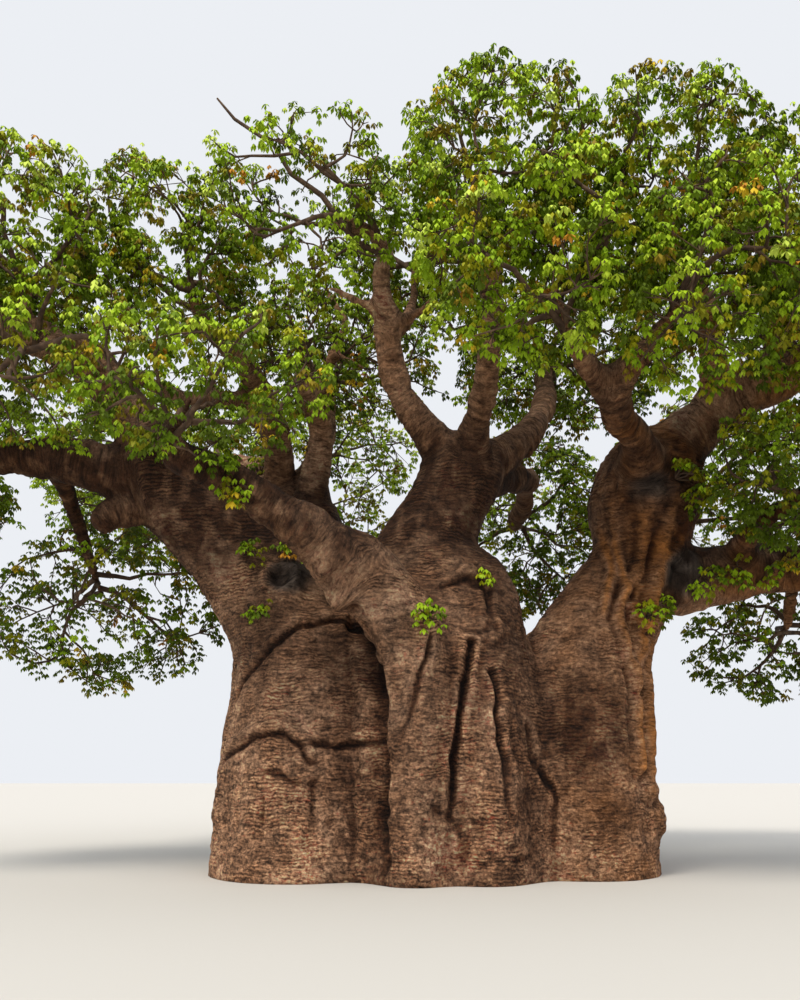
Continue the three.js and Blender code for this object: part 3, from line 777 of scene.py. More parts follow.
def apply_modifier(obj, kind, **settings):
    """Gives the object the mesh that a modifier of this kind makes of its own."""
    modifier = obj.modifiers.new("change", kind)
    for name, value in settings.items():
        setattr(modifier, name, value)
    graph = bpy.context.evaluated_depsgraph_get()
    mesh = bpy.data.meshes.new_from_object(obj.evaluated_get(graph))
    obj.modifiers.clear()
    obj.data = mesh
    return mesh


def depths_in_tubes(places):
    """For each tube, how far each place is outside it, how far along it lies and the tube's girth there."""
    return np.array([tube.depth(places) for tube in tubes.values()]).transpose(1, 0, 2)


def fuse_wood():
    """All the wood as one skin, its tubes flowing into each other, cut flat at ground level."""
    skins = [tube.skin(COLUMN_SIDES if tube.is_column else LIMB_SIDES) for tube in tubes.values()]
    obj = make_object("bark", *joined(skins))
    mesh = apply_modifier(obj, "REMESH", mode="VOXEL", voxel_size=FIRST_VOXEL)
    for _ in range(BLEND_ROUNDS):
        swell_joints(mesh)
    mesh = apply_modifier(obj, "REMESH", mode="VOXEL", voxel_size=BARK_VOXEL)
    cut_at_ground(mesh)
    return obj


def swell_joints(mesh):
    """Swells the skin a little where tubes meet, so that they flow into each other."""
    co, edges = mesh_arrays(mesh)
    depths, _, girths = depths_in_tubes(co)
    swell = BLEND * np.logaddexp.reduce(-depths / BLEND, axis=0)
    most = np.minimum(MAX_SWELL, SWELL_SHARE * girths[depths.argmin(axis=0), np.arange(len(co))])
    co = co + vertex_normals(mesh) * np.clip(swell, 0, most)[:, None]
    set_places(mesh, smoothed(co, edges, 2))


def cut_at_ground(mesh):
    """Cuts the mesh flat at ground level, closes the cut and keeps the largest part."""
    cut = bmesh.new()
    cut.from_mesh(mesh)
    everything = cut.verts[:] + cut.edges[:] + cut.faces[:]
    bmesh.ops.bisect_plane(cut, geom=everything, plane_co=(0, 0, 0), plane_no=(0, 0, 1), clear_inner=True)
    bmesh.ops.holes_fill(cut, edges=[edge for edge in cut.edges if edge.is_boundary])
    bmesh.ops.triangulate(cut, faces=[face for face in cut.faces if len(face.verts) > 4])
    drop_scraps(cut)
    cut.to_mesh(mesh)
    cut.free()


def drop_scraps(cut):
    """Keeps the mesh's largest connected part only."""
    unseen = set(cut.verts)
    parts = []
    while unseen:
        edge = [unseen.pop()]
        part = list(edge)
        while edge:
            near = {other.other_vert(vert) for vert in edge for other in vert.link_edges} & unseen
            unseen -= near
            part.extend(near)
            edge = near
        parts.append(part)
    parts.sort(key=len)
    bmesh.ops.delete(cut, geom=[vert for part in parts[:-1] for vert in part], context="VERTS")


def mesh_arrays(mesh):
    co = np.empty(len(mesh.vertices) * 3, dtype=np.float32)
    mesh.vertices.foreach_get("co", co)
    edges = np.empty(len(mesh.edges) * 2, dtype=np.int32)
    mesh.edges.foreach_get("vertices", edges)
    return co.reshape(-1, 3).astype(float), edges.reshape(-1, 2)


def set_places(mesh, co):
    mesh.vertices.foreach_set("co", co.astype(np.float32).ravel())
    mesh.update()


def vertex_normals(mesh):
    normals = np.empty(len(mesh.vertices) * 3, dtype=np.float32)
    mesh.vertex_normals.foreach_get("vector", normals)
    return normals.reshape(-1, 3).astype(float)


def smoothed(values, edges, rounds):
    """Values averaged with their neighbours along the edges."""
    count = len(values)
    degree = np.bincount(edges.ravel(), minlength=count).clip(1)
    for _ in range(rounds):
        sums = np.stack([
            np.bincount(edges[:, 0], values[edges[:, 1], k], count)
            + np.bincount(edges[:, 1], values[edges[:, 0], k], count)
            for k in range(values.shape[1])
        ], axis=1)
        values = values + SMOOTHING_STRENGTH * (sums / degree[:, None] - values)
    return values


def path_distance(co, path):
    """Each corner's distance to a path drawn on the trunk's front, in the plane of X and Z."""
    flat = co[:, [0, 2]]
    best = np.full(len(co), FAR)
    for a, b in zip(path[:-1], path[1:]):
        a, b = np.array(a), np.array(b)
        t = np.clip(((flat - a) @ (b - a)) / ((b - a) @ (b - a)), 0, 1)
        best = np.minimum(best, np.linalg.norm(flat - (a + t[:, None] * (b - a)), axis=1))
    return best


def ease(values, low, high):
    """0 below low, 1 above high and a smooth rise between."""
    t = np.clip((values - low) / (high - low), 0, 1)
    return t * t * (3 - 2 * t)


def grown_together():
    """For each two pieces of wood, whether one of them grows from the other."""
    names = list(tubes)
    parents = {name: row[0] for name, row in BOUGHS.items()}
    parents |= {f"limb_{name}": row[0] for name, row in LIMBS.items()}
    parents |= {name: row[0] for name, row in SIDE_LIMBS.items()}
    grown = np.eye(len(names), dtype=bool)
    for name, parent in parents.items():
        a, b = names.index(name), names.index(parent)
        grown[a, b] = grown[b, a] = True
    return grown


class Skin:
    """The smooth skin that the relief is carved into, and what each of its corners lies on."""

    def __init__(self, mesh):
        self.mesh = mesh
        co, self.edges = mesh_arrays(mesh)
        self.above_cut = co[:, 2] > CUT_BAND
        co = np.where(self.above_cut[:, None], smoothed(co, self.edges, BARK_SMOOTHING), co)
        self.co = self.kept_above(co, 0.004)
        set_places(mesh, self.co)
        self.normal = vertex_normals(mesh)

        depths, lengths, girths = depths_in_tubes(self.co)
        first, second = np.argsort(depths, axis=0)[:2]
        picks = np.arange(len(co))
        self.gap = depths[second, picks] - depths[first, picks]
        self.girth = girths[first, picks]
        self.along = lengths[first, picks]
        is_column = np.array([tube.is_column for tube in tubes.values()])
        self.on_column = self.spread(is_column[first].astype(float), EDGE_ROUNDS)
        self.on_limb = 1 - self.on_column
        self.parted = self.spread((~grown_together()[first, second]).astype(float), EDGE_ROUNDS)
        starts = np.array([0 if tube.is_column else tube.line[0, 2] for tube in tubes.values()])[first]
        heights = np.where(self.on_column > 0.5, self.co[:, 2], starts + self.along)
        self.ring = self.spread(heights, RING_ROUNDS)

        x, z = self.co[:, 0], self.co[:, 2]
        self.front = ease(-self.normal[:, 1], 0.0, 0.5)
        self.steep = 1 - np.abs(self.normal[:, 2])
        self.under = ease(-self.normal[:, 2], -0.4, 0.6)
        self.foot = ease(-z, -2.0, -0.5)
        self.collar = ease(z, 4.2, 4.8)
        self.upper_right = ease(x, 1.9, 2.5) * ease(z, 3.1, 3.9) * self.on_column
        # Painted shade in the cracks and in the grooves under the folds
        self.slit_shade = np.zeros(len(co))
        self.sinew = np.zeros(len(co))

    def kept_above(self, co, height):
        """Corners above the flat cut kept a little above it, and the rest laid on it."""
        co[:, 2] = np.where(self.above_cut, np.maximum(co[:, 2], height), 0)
        return co

    def spread(self, values, rounds):
        """One number for each corner, averaged with the numbers near it."""
        return smoothed(values[:, None], self.edges, rounds)[:, 0]

    def strayed(self, stray, size, seed):
        """The corners strayed a little, so that what is drawn on them wanders."""
        return self.co + stray * noise(self.co, size, seed, 2)[:, None]


def add_lumps(skin):
    """Creases where columns meet, lumps and flutes down the columns, and lumps and dents on the limbs."""
    co = skin.co
    crease = np.exp(-(skin.gap / CREASE_WIDTH) ** 2) * skin.parted
    skin.relief = -CREASE_DEPTH * crease * (0.65 + 0.5 * noise(co, 0.6, 5, 2))
    for height, size, seed, layers, on_steep in TRUNK_LUMPS:
        lumps = height * noise(co, size, seed, layers) * skin.on_column
        skin.relief += lumps * skin.steep if on_steep else lumps
    skin.relief += (0.005 + 0.014 * skin.foot) * noise(co, (0.2, 0.2, 0.15), 35, 2) * skin.on_column
    swirled = co + np.stack([0.3 * noise(co, 0.6, 43 + k, 2) for k in range(3)], axis=1)
    ridged = 1 - np.abs(noise(swirled, 0.3, 41, 2)) * 3.2
    skin.relief += (0.01 + 0.022 * skin.foot) * np.clip(ridged, -1, 1) * skin.on_column

    skin.relief += LIMB_LUMPS * skin.girth * noise(co, 0.32, 51, 3) * skin.on_limb
    knobs = np.clip(noise(co, 0.42, 57, 2) - 0.25, 0, 1)
    dents = np.clip(noise(co, 0.36, 59, 2) - 0.3, 0, 1)
    skin.relief += skin.girth * (LIMB_KNOBS * knobs - LIMB_DENTS * dents) * skin.on_limb


def add_bands(skin):
    """Shallow bands: rings round the limbs, and wrinkles across the columns."""
    co = skin.co
    z = co[:, 2]
    rings = np.sin(2 * math.pi * (skin.along / RING_GAP + noise(co, 0.5, 61, 2)))
    skin.relief += RING_DEPTH * rings * skin.on_limb * (0.4 + skin.under) * (0.6 + 0.6 * noise(co, 0.8, 71))
    bands = np.sin(2 * math.pi * (z / RING_GAP + 1.8 * noise(co, 0.6, 81, 2)))
    skin.relief += BAND_DEPTH * bands * skin.upper_right * (0.6 + 0.6 * noise(co, 0.5, 91))
    wrinkles = np.sin(2 * math.pi * (z / WRINKLE_GAP + 1.6 * noise(co, 0.5, 95, 2)))
    skin.relief += WRINKLE_DEPTH * wrinkles * skin.on_column * ease(z, 1.6, 2.8)


def add_cracks(skin):
    """The cracks down the front, each with a low lip on both sides and fading at its lower end."""
    strayed = skin.strayed(0.09, 0.35, 101)
    for path, half_width, depth in CRACKS:
        away = path_distance(strayed, path) / half_width
        low_end = path[-1][1]
        fade = (0.3 + 0.7 * ease(skin.co[:, 2], low_end - 0.1, low_end + 0.8)) * skin.front
        skin.relief -= depth * (np.exp(-away ** 2) - 0.3 * np.exp(-(away - 2.2) ** 2)) * fade
        # Painted shade inside the crack
        skin.slit_shade = np.maximum(skin.slit_shade, np.exp(-(away / 0.8) ** 2) * fade * min(1, depth / 0.1))


def add_ropes(skin):
    """The ropes up the right column, with valleys beside them and fine creases between."""
    wandering = skin.strayed(0.16, 0.8, 103)
    creases = noise(wandering, (0.07, 0.07, 0.8), 109, 2)
    skin.relief += 0.02 * creases * skin.upper_right * skin.front
    for path, half_width, height in ROPES:
        away = path_distance(wandering, path) / half_width
        rope = np.exp(-away ** 2) * (0.75 + 0.5 * noise(skin.co, 0.4, 107))
        valley = np.exp(-((away - 1.9) / 0.7) ** 2)
        skin.relief += height * (rope - 0.55 * valley) * skin.front * (1 - 0.8 * skin.collar)
        skin.sinew = np.maximum(skin.sinew, rope * (1 - 0.5 * skin.collar))


def add_folds(skin):
    """The folds across the front: a lip above each line and a groove under it."""
    strayed = skin.strayed(0.09, 0.35, 101)
    across = skin.co[:, 0]
    for path, lip in FOLDS:
        x, z = np.array(path).T
        above = strayed[:, 2] - np.interp(strayed[:, 0], x, z)
        left_end = ease(across, x[0] - FOLD_END, x[0] + FOLD_END)
        right_end = ease(-across, -x[-1] - FOLD_END, -x[-1] + FOLD_END)
        between_ends = left_end * right_end
        shape = np.exp(-((above - 0.07) / 0.08) ** 2) - 0.9 * np.exp(-((above + 0.035) / 0.045) ** 2)
        skin.relief += lip * shape * between_ends * skin.front
        # Painted shade in the groove under the lip
        groove = 0.7 * np.exp(-((above + 0.03) / 0.035) ** 2)
        skin.slit_shade = np.maximum(skin.slit_shade, groove * between_ends * skin.front)


def add_knots(skin):
    """Hollows with a raised rim, and rippled knobs."""
    rough = 1 + 0.3 * noise(skin.co, 0.15, 111, 2)
    for place, radius, depth in KNOTS:
        away = np.linalg.norm(skin.co - np.array(place), axis=1) / radius * rough
        if depth > 0:
            skin.relief -= depth * (np.exp(-away ** 4) - 0.45 * np.exp(-((away - 1.35) / 0.3) ** 2))
        else:
            skin.relief -= depth * np.exp(-away ** 2) * (1 + 0.12 * np.cos(away * 8))


def rusty(skin):
    """Where the skin is rust-brown: on the right column, under the limbs and on the ropes."""
    x, z = skin.co[:, 0], skin.co[:, 2]
    rust = skin.upper_right * ease(x, 2.1, 2.9)
    rust = np.maximum(rust, 0.6 * ease(x, 2.35, 2.8) * ease(z, 0.9, 2.4) * skin.on_column)
    rust = np.maximum(rust, skin.on_limb * skin.under * (0.3 + 0.5 * ease(x, 1.2, 2.4)))
    rust = np.maximum(rust, 0.35 * ease(x, 1.2, 1.9) * skin.on_column)
    patchy = np.clip(0.7 + 0.9 * noise(skin.co, 0.5, 121, 3), 0, 1)
    return np.maximum(rust * patchy, skin.sinew * skin.front)


def stains_and_crown_shade(skin, stained):
    """Where the skin is darker: painted shade from the crown in a band round the forks, dark blots, and the
    dark patches on the front, which are partly stains and partly painted shade, on wandering corners.
    """
    co = skin.co
    # Painted shade from the crown: a band round the forks, fading higher up and lighter near x = 2.4
    grime = ease(stained[:, 2], 3.3, 4.5) * (1 - 0.85 * ease(stained[:, 2], 5.5, 6.6))
    grime = grime * (0.95 - 0.25 * np.exp(-((co[:, 0] - 2.4) / 0.8) ** 2))
    grime = np.maximum(grime, 0.28 * ease(noise(co, (0.6, 0.6, 1.1), 137, 3), 0.05, 0.45))
    for (x, z), radius, strength in STAINS_AND_SHADE:
        away = np.linalg.norm((stained[:, [0, 2]] - (x, z)) / (radius, radius * 1.3), axis=1)
        grime = np.maximum(grime, strength * np.exp(-away ** 2) * skin.front)
    mottle = 1 + 0.6 * noise(co, (0.12, 0.12, 0.2), 139, 2)
    return grime * (1 - 0.8 * np.clip(skin.sinew, 0, 1)) * mottle


def healed(skin, stained):
    """Where the skin is bare and grey."""
    scar = np.zeros(len(skin.co))
    for place, radius in SCARS:
        away = np.linalg.norm((skin.co * 2 + stained) / 3 - place, axis=1) / radius
        scar = np.maximum(scar, np.exp(-away ** 8))
    return scar


def bark_looks(skin):
    """What the bark's colours follow, one number for each corner: painted shade where it lies deeper than the
    skin round it, in cracks, under folds and where parted columns and limbs come close, a painted highlight
    where it stands out from the skin round it, its rust, its dark stains and blots with painted shade from
    the crown round the forks, its height or its place along the limb, and whether it is old or healed."""
    level = skin.spread(skin.relief, 8)
    # Painted shade where parted columns and limbs come close
    shade_between_parts = np.exp(-(skin.gap / 0.3) ** 2) * skin.parted
    stained = skin.co + 0.3 * noise(skin.co, 0.5, 131, 3)[:, None]
    return {
        # Painted shade where the skin lies deeper than round it, in cracks, under folds and between parts
        "hollow_shade": np.clip((level - skin.relief) * 16 + 0.3 * shade_between_parts + 0.6 * skin.slit_shade, 0, 1),
        # Painted highlight where the skin stands out from the skin round it
        "ridge_highlight": np.clip((skin.relief - level) * 18, 0, 1),
        "rust": rusty(skin),
        # Dark stains and blots, and painted shade from the crown round the forks
        "grime": stains_and_crown_shade(skin, stained),
        "ring": skin.ring,
        "old_skin": skin.on_column,
        "scar": healed(skin, stained),
    }


def shape_bark(obj):
    """Carves the bark's relief, marks where each look goes and thins the skin out where it is smooth."""
    skin = Skin(obj.data)
    for add in (add_lumps, add_bands, add_cracks, add_ropes, add_folds, add_knots):
        add(skin)
    skin.relief *= np.clip(skin.co[:, 2] / 0.25, 0.25, 1)
    moved = skin.co + skin.normal * skin.relief[:, None]
    set_places(skin.mesh, skin.kept_above(moved, 0.003))
    for name, values in bark_looks(skin).items():
        layer = skin.mesh.attributes.new(name, "FLOAT", "POINT")
        layer.data.foreach_set("value", values.astype(np.float32))
    apply_modifier(obj, "DECIMATE", ratio=BARK_KEPT)
    obj.data.shade_smooth()


side_limbs = {name: SideLimb(stations) for name, (_, stations) in SIDE_LIMBS.items()}
tubes = {name: Tube(name, axis) for name, axis in (axes | side_limbs).items()}


# The foliage

wood_places = np.concatenate([tube.line for tube in tubes.values()])
wood_radii = np.concatenate([tube.halves.max(axis=1) for tube in tubes.values()])


def in_space(mass, places):
    """Whether each place is well inside a mass's own space, as in the solids."""
    own = mass.outwardness(places)
    inside = own <= 1
    for other in masses:
        if other is not mass:
            margin = 2 * CELL_CLEARANCE / min(mass.extent[2], other.extent[2])
            inside &= other.outwardness(places) > own + margin
    return inside


def reach_of(mass, directions):
    """How far out the mass's own space reaches in each direction, as a share of its oval."""
    reach = np.zeros(len(directions))
    for i in range(REACH_TRIES):
        share = MAX_REACH - i * REACH_STEP
        good = (reach == 0) & in_space(mass, mass.place(directions, np.full(len(directions), share)))
        reach[good] = share
    return reach


def spread_directions(seed, count, jitter):
    """Directions spread evenly all round, turned by a mass's own seed."""
    k = np.arange(count)
    height = 1 - 2 * (k + 0.5) / count
    turn = k * GOLDEN_ANGLE + seed + jitter
    flat = np.sqrt(1 - height ** 2)
    return np.stack([flat * np.cos(turn), flat * np.sin(turn), height], axis=1)


def clear_of_wood(places):
    clear = np.ones(len(places), bool)
    for start in range(0, len(wood_places), 400):
        middle = wood_places[start:start + 400]
        away = np.linalg.norm(places[:, None] - middle[None], axis=2)
        clear &= (away > wood_radii[None, start:start + 400] + LEAF_CLEARANCE).all(axis=1)
    return clear


def bowed_lines(starts, ends, rise, rings, seed):
    """Gently bowed and kinked lines between pairs of places; rise is how far up they bow for their length."""
    shares = np.linspace(0, 1, rings)
    lines = starts[:, None] + (ends - starts)[:, None] * shares[None, :, None]
    length = np.linalg.norm(ends - starts, axis=1)
    item = np.arange(len(starts))
    bow = np.stack([chance(seed, item, c) - 0.5 for c in (11, 12, 13)], axis=1) * length[:, None] * TWIG_BOW
    bow[:, 2] += rise * length
    envelope = np.sin(math.pi * shares)
    lines += bow[:, None] * envelope[None, :, None]
    knee = item[:, None] * 7 + np.arange(rings)[None]
    kink = np.stack([chance(seed, knee, c) - 0.5 for c in (14, 15, 16)], axis=2)
    return lines + kink * (TWIG_KINK * length)[:, None, None] * envelope[None, :, None]


def nearest_joints(lines, places):
    """For each place, the nearest joint along the lines and the joint before it."""
    joints = lines[:, 1:].reshape(-1, 3)
    nearest = np.linalg.norm(places[:, None] - joints[None], axis=2).argmin(axis=1)
    before = np.where(nearest % (lines.shape[1] - 1) > 0, nearest - 1, nearest)
    return joints[nearest], joints[before]


def grow_skeleton(mass):
    """The mass's twigs and sprays by the solids' rule: lines of its main twigs and of its spray axes."""
    directions = spread_directions(mass.seed, TWIGS, 0)
    ends = mass.place(directions, TWIG_REACH * reach_of(mass, directions))
    starts = stem_places(mass, 0.3 + 0.65 * (np.arange(TWIGS) + 0.5) / TWIGS)
    k = np.arange(SPRAYS)
    directions = spread_directions(mass.seed, SPRAYS, 0.5 * chance(mass.seed, k, 2))
    targets = mass.place(directions, reach_of(mass, directions) - 0.1 * chance(mass.seed, k, 3))
    nearest = np.linalg.norm(targets[:, None] - ends[None], axis=2).argmin(axis=1)
    main = bowed_lines(starts, ends, 0.04, MAIN_RINGS, mass.seed)
    held = [int((nearest[:i] == nearest[i]).sum()) for i in range(SPRAYS)]
    place = np.clip(0.97 - HOLD_STEP * np.array(held), 0.3, 1) * (MAIN_RINGS - 1)
    low = np.minimum(place.astype(int), MAIN_RINGS - 2)
    part = (place - low)[:, None]
    holds = main[nearest, low] * (1 - part) + main[nearest, low + 1] * part
    sprays = bowed_lines(holds, targets, -0.02, SPRAY_RINGS, mass.seed + 50)
    return main, sprays


def grow_twigs(mass, sprays):
    """Thin twigs branching from the sprays, spread over the mass's space."""
    count = int(shoot_count(mass) * TWIGGINESS.get(mass.name, 1) / SHOOTS_TO_A_TWIG)
    k = np.arange(count)
    directions = spread_directions(mass.seed + 7, count, 0.6 * chance(mass.seed, k, 21))
    reach = reach_of(mass, directions)
    places = mass.place(directions, (reach - 0.05) * (1 - 0.4 * chance(mass.seed, k, 22) ** 2))
    joints, holds = nearest_joints(sprays, places)
    places = places + (joints - places) * (0.25 * chance(mass.seed, k, 23))[:, None]
    keep = (reach > 0) & clear_of_wood(places)
    return bowed_lines(holds[keep], places[keep], 0.03, FINE_RINGS, mass.seed + 60)


def shoot_count(mass):
    a, b, c = mass.extent
    area = 4 * math.pi * (((a * b) ** 1.6 + (a * c) ** 1.6 + (b * c) ** 1.6) / 3) ** (1 / 1.6)
    return int(area * SHOOTS_PER_M2 * DENSITY.get(mass.name, 1))


def grow_shoots(mass, sprays, twigs):
    """Places for the leafy shoots, where each starts and its number: one at the end of every spray and twig,
    and the rest spread over the mass's space and drawn towards the twigs."""
    count = shoot_count(mass)
    k = np.arange(count)
    directions = spread_directions(mass.seed, count, 0.6 * chance(mass.seed, k, 31))
    reach = reach_of(mass, directions)
    depth = 1 - 0.5 * chance(mass.seed, k, 32) ** 2
    places = mass.place(directions, (reach - 0.03) * depth)
    joints, holds = nearest_joints(twigs, places)
    pull = 0.2 + 0.45 * chance(mass.seed, k, 33)
    places = places + (joints - places) * pull[:, None]
    keep = in_space(mass, places) & clear_of_wood(places) & (reach > 0)
    places = np.concatenate([places[keep], sprays[:, -1], twigs[:, -1]])
    roots = np.concatenate([holds[keep], sprays[:, -2], twigs[:, -2]])
    return places, roots, np.arange(len(places))


def sprout_places(bark):
    """Where the sprouts' shoots end and where they start on the bark, and a number for each."""
    mesh = bark.data
    tree = BVHTree.FromPolygons([v.co for v in mesh.vertices], [p.vertices for p in mesh.polygons])
    places, roots, numbers = [], [], []
    for k, ((x, z), spread, count) in enumerate(SPROUTS):
        hit, face, _, _ = tree.ray_cast(Vector((x, -8, z)), Vector((0, 1, 0)))
        face = np.array(face)
        for i in range(count):
            number = 20 * k + i
            stray = np.array([chance(SPROUT_SEED, number, c) - 0.5 for c in (1, 2, 3)]) * 1.6
            roots.append(np.array(hit) - face * 0.02)
            reach = spread * (0.6 + 0.7 * chance(SPROUT_SEED, number, 4))
            places.append(np.array(hit) + unit(face + stray) * reach)
            numbers.append(number)
    return np.array(places), np.array(roots), np.array(numbers)


def grow_stalks(seed, places, roots, item):
    """The stalks round each shoot's tip: each leaf's number, its stalk's end and its level heading."""
    out = unit(unit(places - roots) + np.array([0, 0, 0.6]))
    leaf = np.arange(LEAVES)
    key = item[:, None] * 13 + leaf[None]
    share = leaf[None] / LEAVES + chance(seed, item, 1)[:, None] + 0.12 * chance(seed, key, 2)
    turn = 2 * math.pi * share
    across = unit(np.cross(out, np.array([0.31, 0.95, 0.05])))
    along = np.cross(out, across)
    side = across[:, None] * np.cos(turn)[..., None] + along[:, None] * np.sin(turn)[..., None]
    rise = 0.8 - 1.1 * chance(seed, key, 3)
    stalk = unit(side + out[:, None] * rise[..., None])
    stalk_length = PETIOLE * (0.4 + 0.9 * chance(seed, key, 4))
    base = places[:, None] + stalk * stalk_length[..., None]
    return key, base, unit(stalk * np.array([1, 1, 0]) + 1e-6)


def leaf_arrays(seed, places, roots, item):
    """Every leaflet of every shoot: from the end of each stalk leaflets spread and hang like the ribs of a
    half-closed umbrella, and each is a blade of two triangles, arched along its middle."""
    key, base, level = grow_stalks(seed, places, roots, item)
    cross = np.stack([-level[..., 1], level[..., 0], np.zeros(level.shape[:-1])], axis=-1)
    size = LEAFLET_LENGTH * (0.75 + 0.5 * chance(seed, key, 6))
    droop = 0.7 + 1.7 * chance(seed, key, 5)

    fan = np.linspace(-FAN, FAN, LEAFLETS)
    key = key[..., None] * 5 + np.arange(LEAFLETS)
    rib = level[:, :, None] * np.cos(fan)[:, None] + cross[:, :, None] * np.sin(fan)[:, None]
    hang = droop[..., None] * (0.75 + 0.5 * chance(seed, key, 7))
    lead = unit(rib + np.array([0, 0, -1.0]) * hang[..., None])
    twist = 0.9 * (chance(seed, key, 8) - 0.5)
    flat = np.stack([-rib[..., 1], rib[..., 0], twist], axis=-1)
    wide = unit(flat - lead * (flat * lead).sum(axis=-1, keepdims=True))
    length = size[..., None] * (1 - 0.25 * np.abs(fan) / FAN)
    width = length * LEAFLET_WIDTH / 2
    arch = np.cross(lead, wide)
    arch = arch * np.sign(arch[..., 2:]) * (length * LEAFLET_ARCH)[..., None]

    start = np.broadcast_to(base[:, :, None], lead.shape)
    middle = start + lead * (length * 0.6)[..., None] + arch
    tip = start + lead * length[..., None]
    spread = wide * width[..., None]
    verts = np.stack([start, middle + spread, tip, middle - spread], axis=3).reshape(-1, 3)
    first = np.arange(0, len(verts), 4)[:, None]
    tris = (first[:, None] + np.array([[0, 1, 3], [1, 2, 3]])[None]).reshape(-1, 3)
    return verts, tris


# Materials

def linear(colour):
    """An sRGB hex colour as linear red, green, blue and alpha."""
    parts = [int(colour[i:i + 2], 16) / 255 for i in (1, 3, 5)]
    return [p / 12.92 if p <= 0.04045 else ((p + 0.055) / 1.055) ** 2.4 for p in parts] + [1]


def add_node(material, kind, settings=(), links=(), stops=()):
    """Adds a shader node: settings are its inputs, by name or number, or its properties, links are (its
    input, node, that node's output), and stops are the (place, colour) pairs of a colour ramp."""
    tree = material.node_tree
    node = tree.nodes.new(kind)
    for name, value in dict(settings).items():
        if isinstance(name, int) or name in node.inputs:
            node.inputs[name].default_value = value
        else:
            setattr(node, name, value)
    for socket, other, output in links:
        tree.links.new(other.outputs[output], node.inputs[socket])
    if stops:
        elements = node.color_ramp.elements
        while len(elements) < len(stops):
            elements.new(0.5)
        for element, (place, colour) in zip(elements, stops):
            element.position = place
            element.color = linear(colour)
    return node


def new_material(name, roughness, specular=0.3):
    material = bpy.data.materials.new(name)
    material.use_nodes = True
    shader = material.node_tree.nodes["Principled BSDF"]
    shader.inputs["Roughness"].default_value = roughness
    shader.inputs["Specular IOR Level"].default_value = specular
    return material, shader


def per_metre(size_mm):
    """A pattern's scale from its real size."""
    return 1000 / size_mm


def per_wave(size_mm):
    """A wave pattern's scale from the real distance between its bands."""
    return 1000 * 2 * math.pi / 20 / size_mm


# The colour mixing node's inputs and output by number, as their names repeat, and the ways it mixes
MIX_FACTOR, MIX_FIRST, MIX_SECOND, MIX_RESULT = 0, 6, 7, 2
OVERLAY = {"data_type": "RGBA", "blend_type": "OVERLAY"}
MULTIPLY = {"data_type": "RGBA", "blend_type": "MULTIPLY"}
COVER = {"data_type": "RGBA", "blend_type": "MIX"}
PUSH = {"data_type": "RGBA", "blend_type": "LINEAR_LIGHT", "clamp_result": False}


def lay_over(material, under, pattern, stops, way, factor):
    """Turns a pattern into colours and lays them over those under them; each of these is a node with its
    output, as the factor is where it isn't a number."""
    colours = add_node(material, "ShaderNodeValToRGB", (), [("Fac", *pattern)], stops), "Color"
    links = [(MIX_FIRST, *under), (MIX_SECOND, *colours)]
    if isinstance(factor, tuple):
        links.append((MIX_FACTOR, *factor))
    else:
        way = way | {MIX_FACTOR: factor}
    return colours, (add_node(material, "ShaderNodeMix", way, links), MIX_RESULT)


def bark_material():
    """Old baobab bark, a hide of grey-brown skin: wrinkles about 50 mm apart run across every limb, with
    painted shade in their grooves and a painted highlight on their ridges, grit of 45 mm and plates of 140 mm
    roughen it, stains are dark, painted shade darkens the folds, cracks and hollows, the gaps between parts
    and the forks under the crown, ridges get a painted highlight, worn skin and skin under the limbs are
    rust-brown, and healed scars are grey."""
    material, shader = new_material("baobab_bark", 0.88, 0.2)
    looks = {
        name: (add_node(material, "ShaderNodeAttribute", {"attribute_name": name}), "Fac")
        for name in ("hollow_shade", "ridge_highlight", "rust", "grime", "ring", "old_skin", "scar")
    }
    place = add_node(material, "ShaderNodeTexCoord"), "Object"
    apart = add_node(material, "ShaderNodeSeparateXYZ", (), [("Vector", *place)])
    skin = add_node(material, "ShaderNodeCombineXYZ", (),
                    [("X", apart, "X"), ("Y", apart, "Y"), ("Z", *looks["ring"])]), "Vector"
    colour = bark_streaks(material, place)
    wrinkle, wrinkling, colour = bark_wrinkles(material, looks["old_skin"], place, skin, colour)
    pit, pits, colour = bark_pits(material, skin, colour)
    grit, colour = bark_grit(material, place, (apart, "Z"), colour)
    cracks, colour = bark_plates(material, place, (apart, "Z"), pit, colour)
    colour = bark_wear(material, looks, pits, colour)
    colour = bark_shade(material, looks, colour)
    material.node_tree.links.new(colour[0].outputs[colour[1]], shader.inputs["Base Color"])

    bump = add_node(material, "ShaderNodeBump", {"Strength": 0.5, "Distance": 0.015}, [("Height", *cracks)])
    bump = add_node(material, "ShaderNodeBump", {"Distance": 0.02},
                    [("Strength", *wrinkling), ("Height", *wrinkle), ("Normal", bump, "Normal")])
    for pattern, strength, distance in ((grit, 0.8, 0.03), (pit, 1.0, 0.04)):
        bump = add_node(material, "ShaderNodeBump", {"Strength": strength, "Distance": distance},
                        [("Height", *pattern), ("Normal", bump, "Normal")])
    material.node_tree.links.new(bump.outputs["Normal"], shader.inputs["Normal"])
    return material


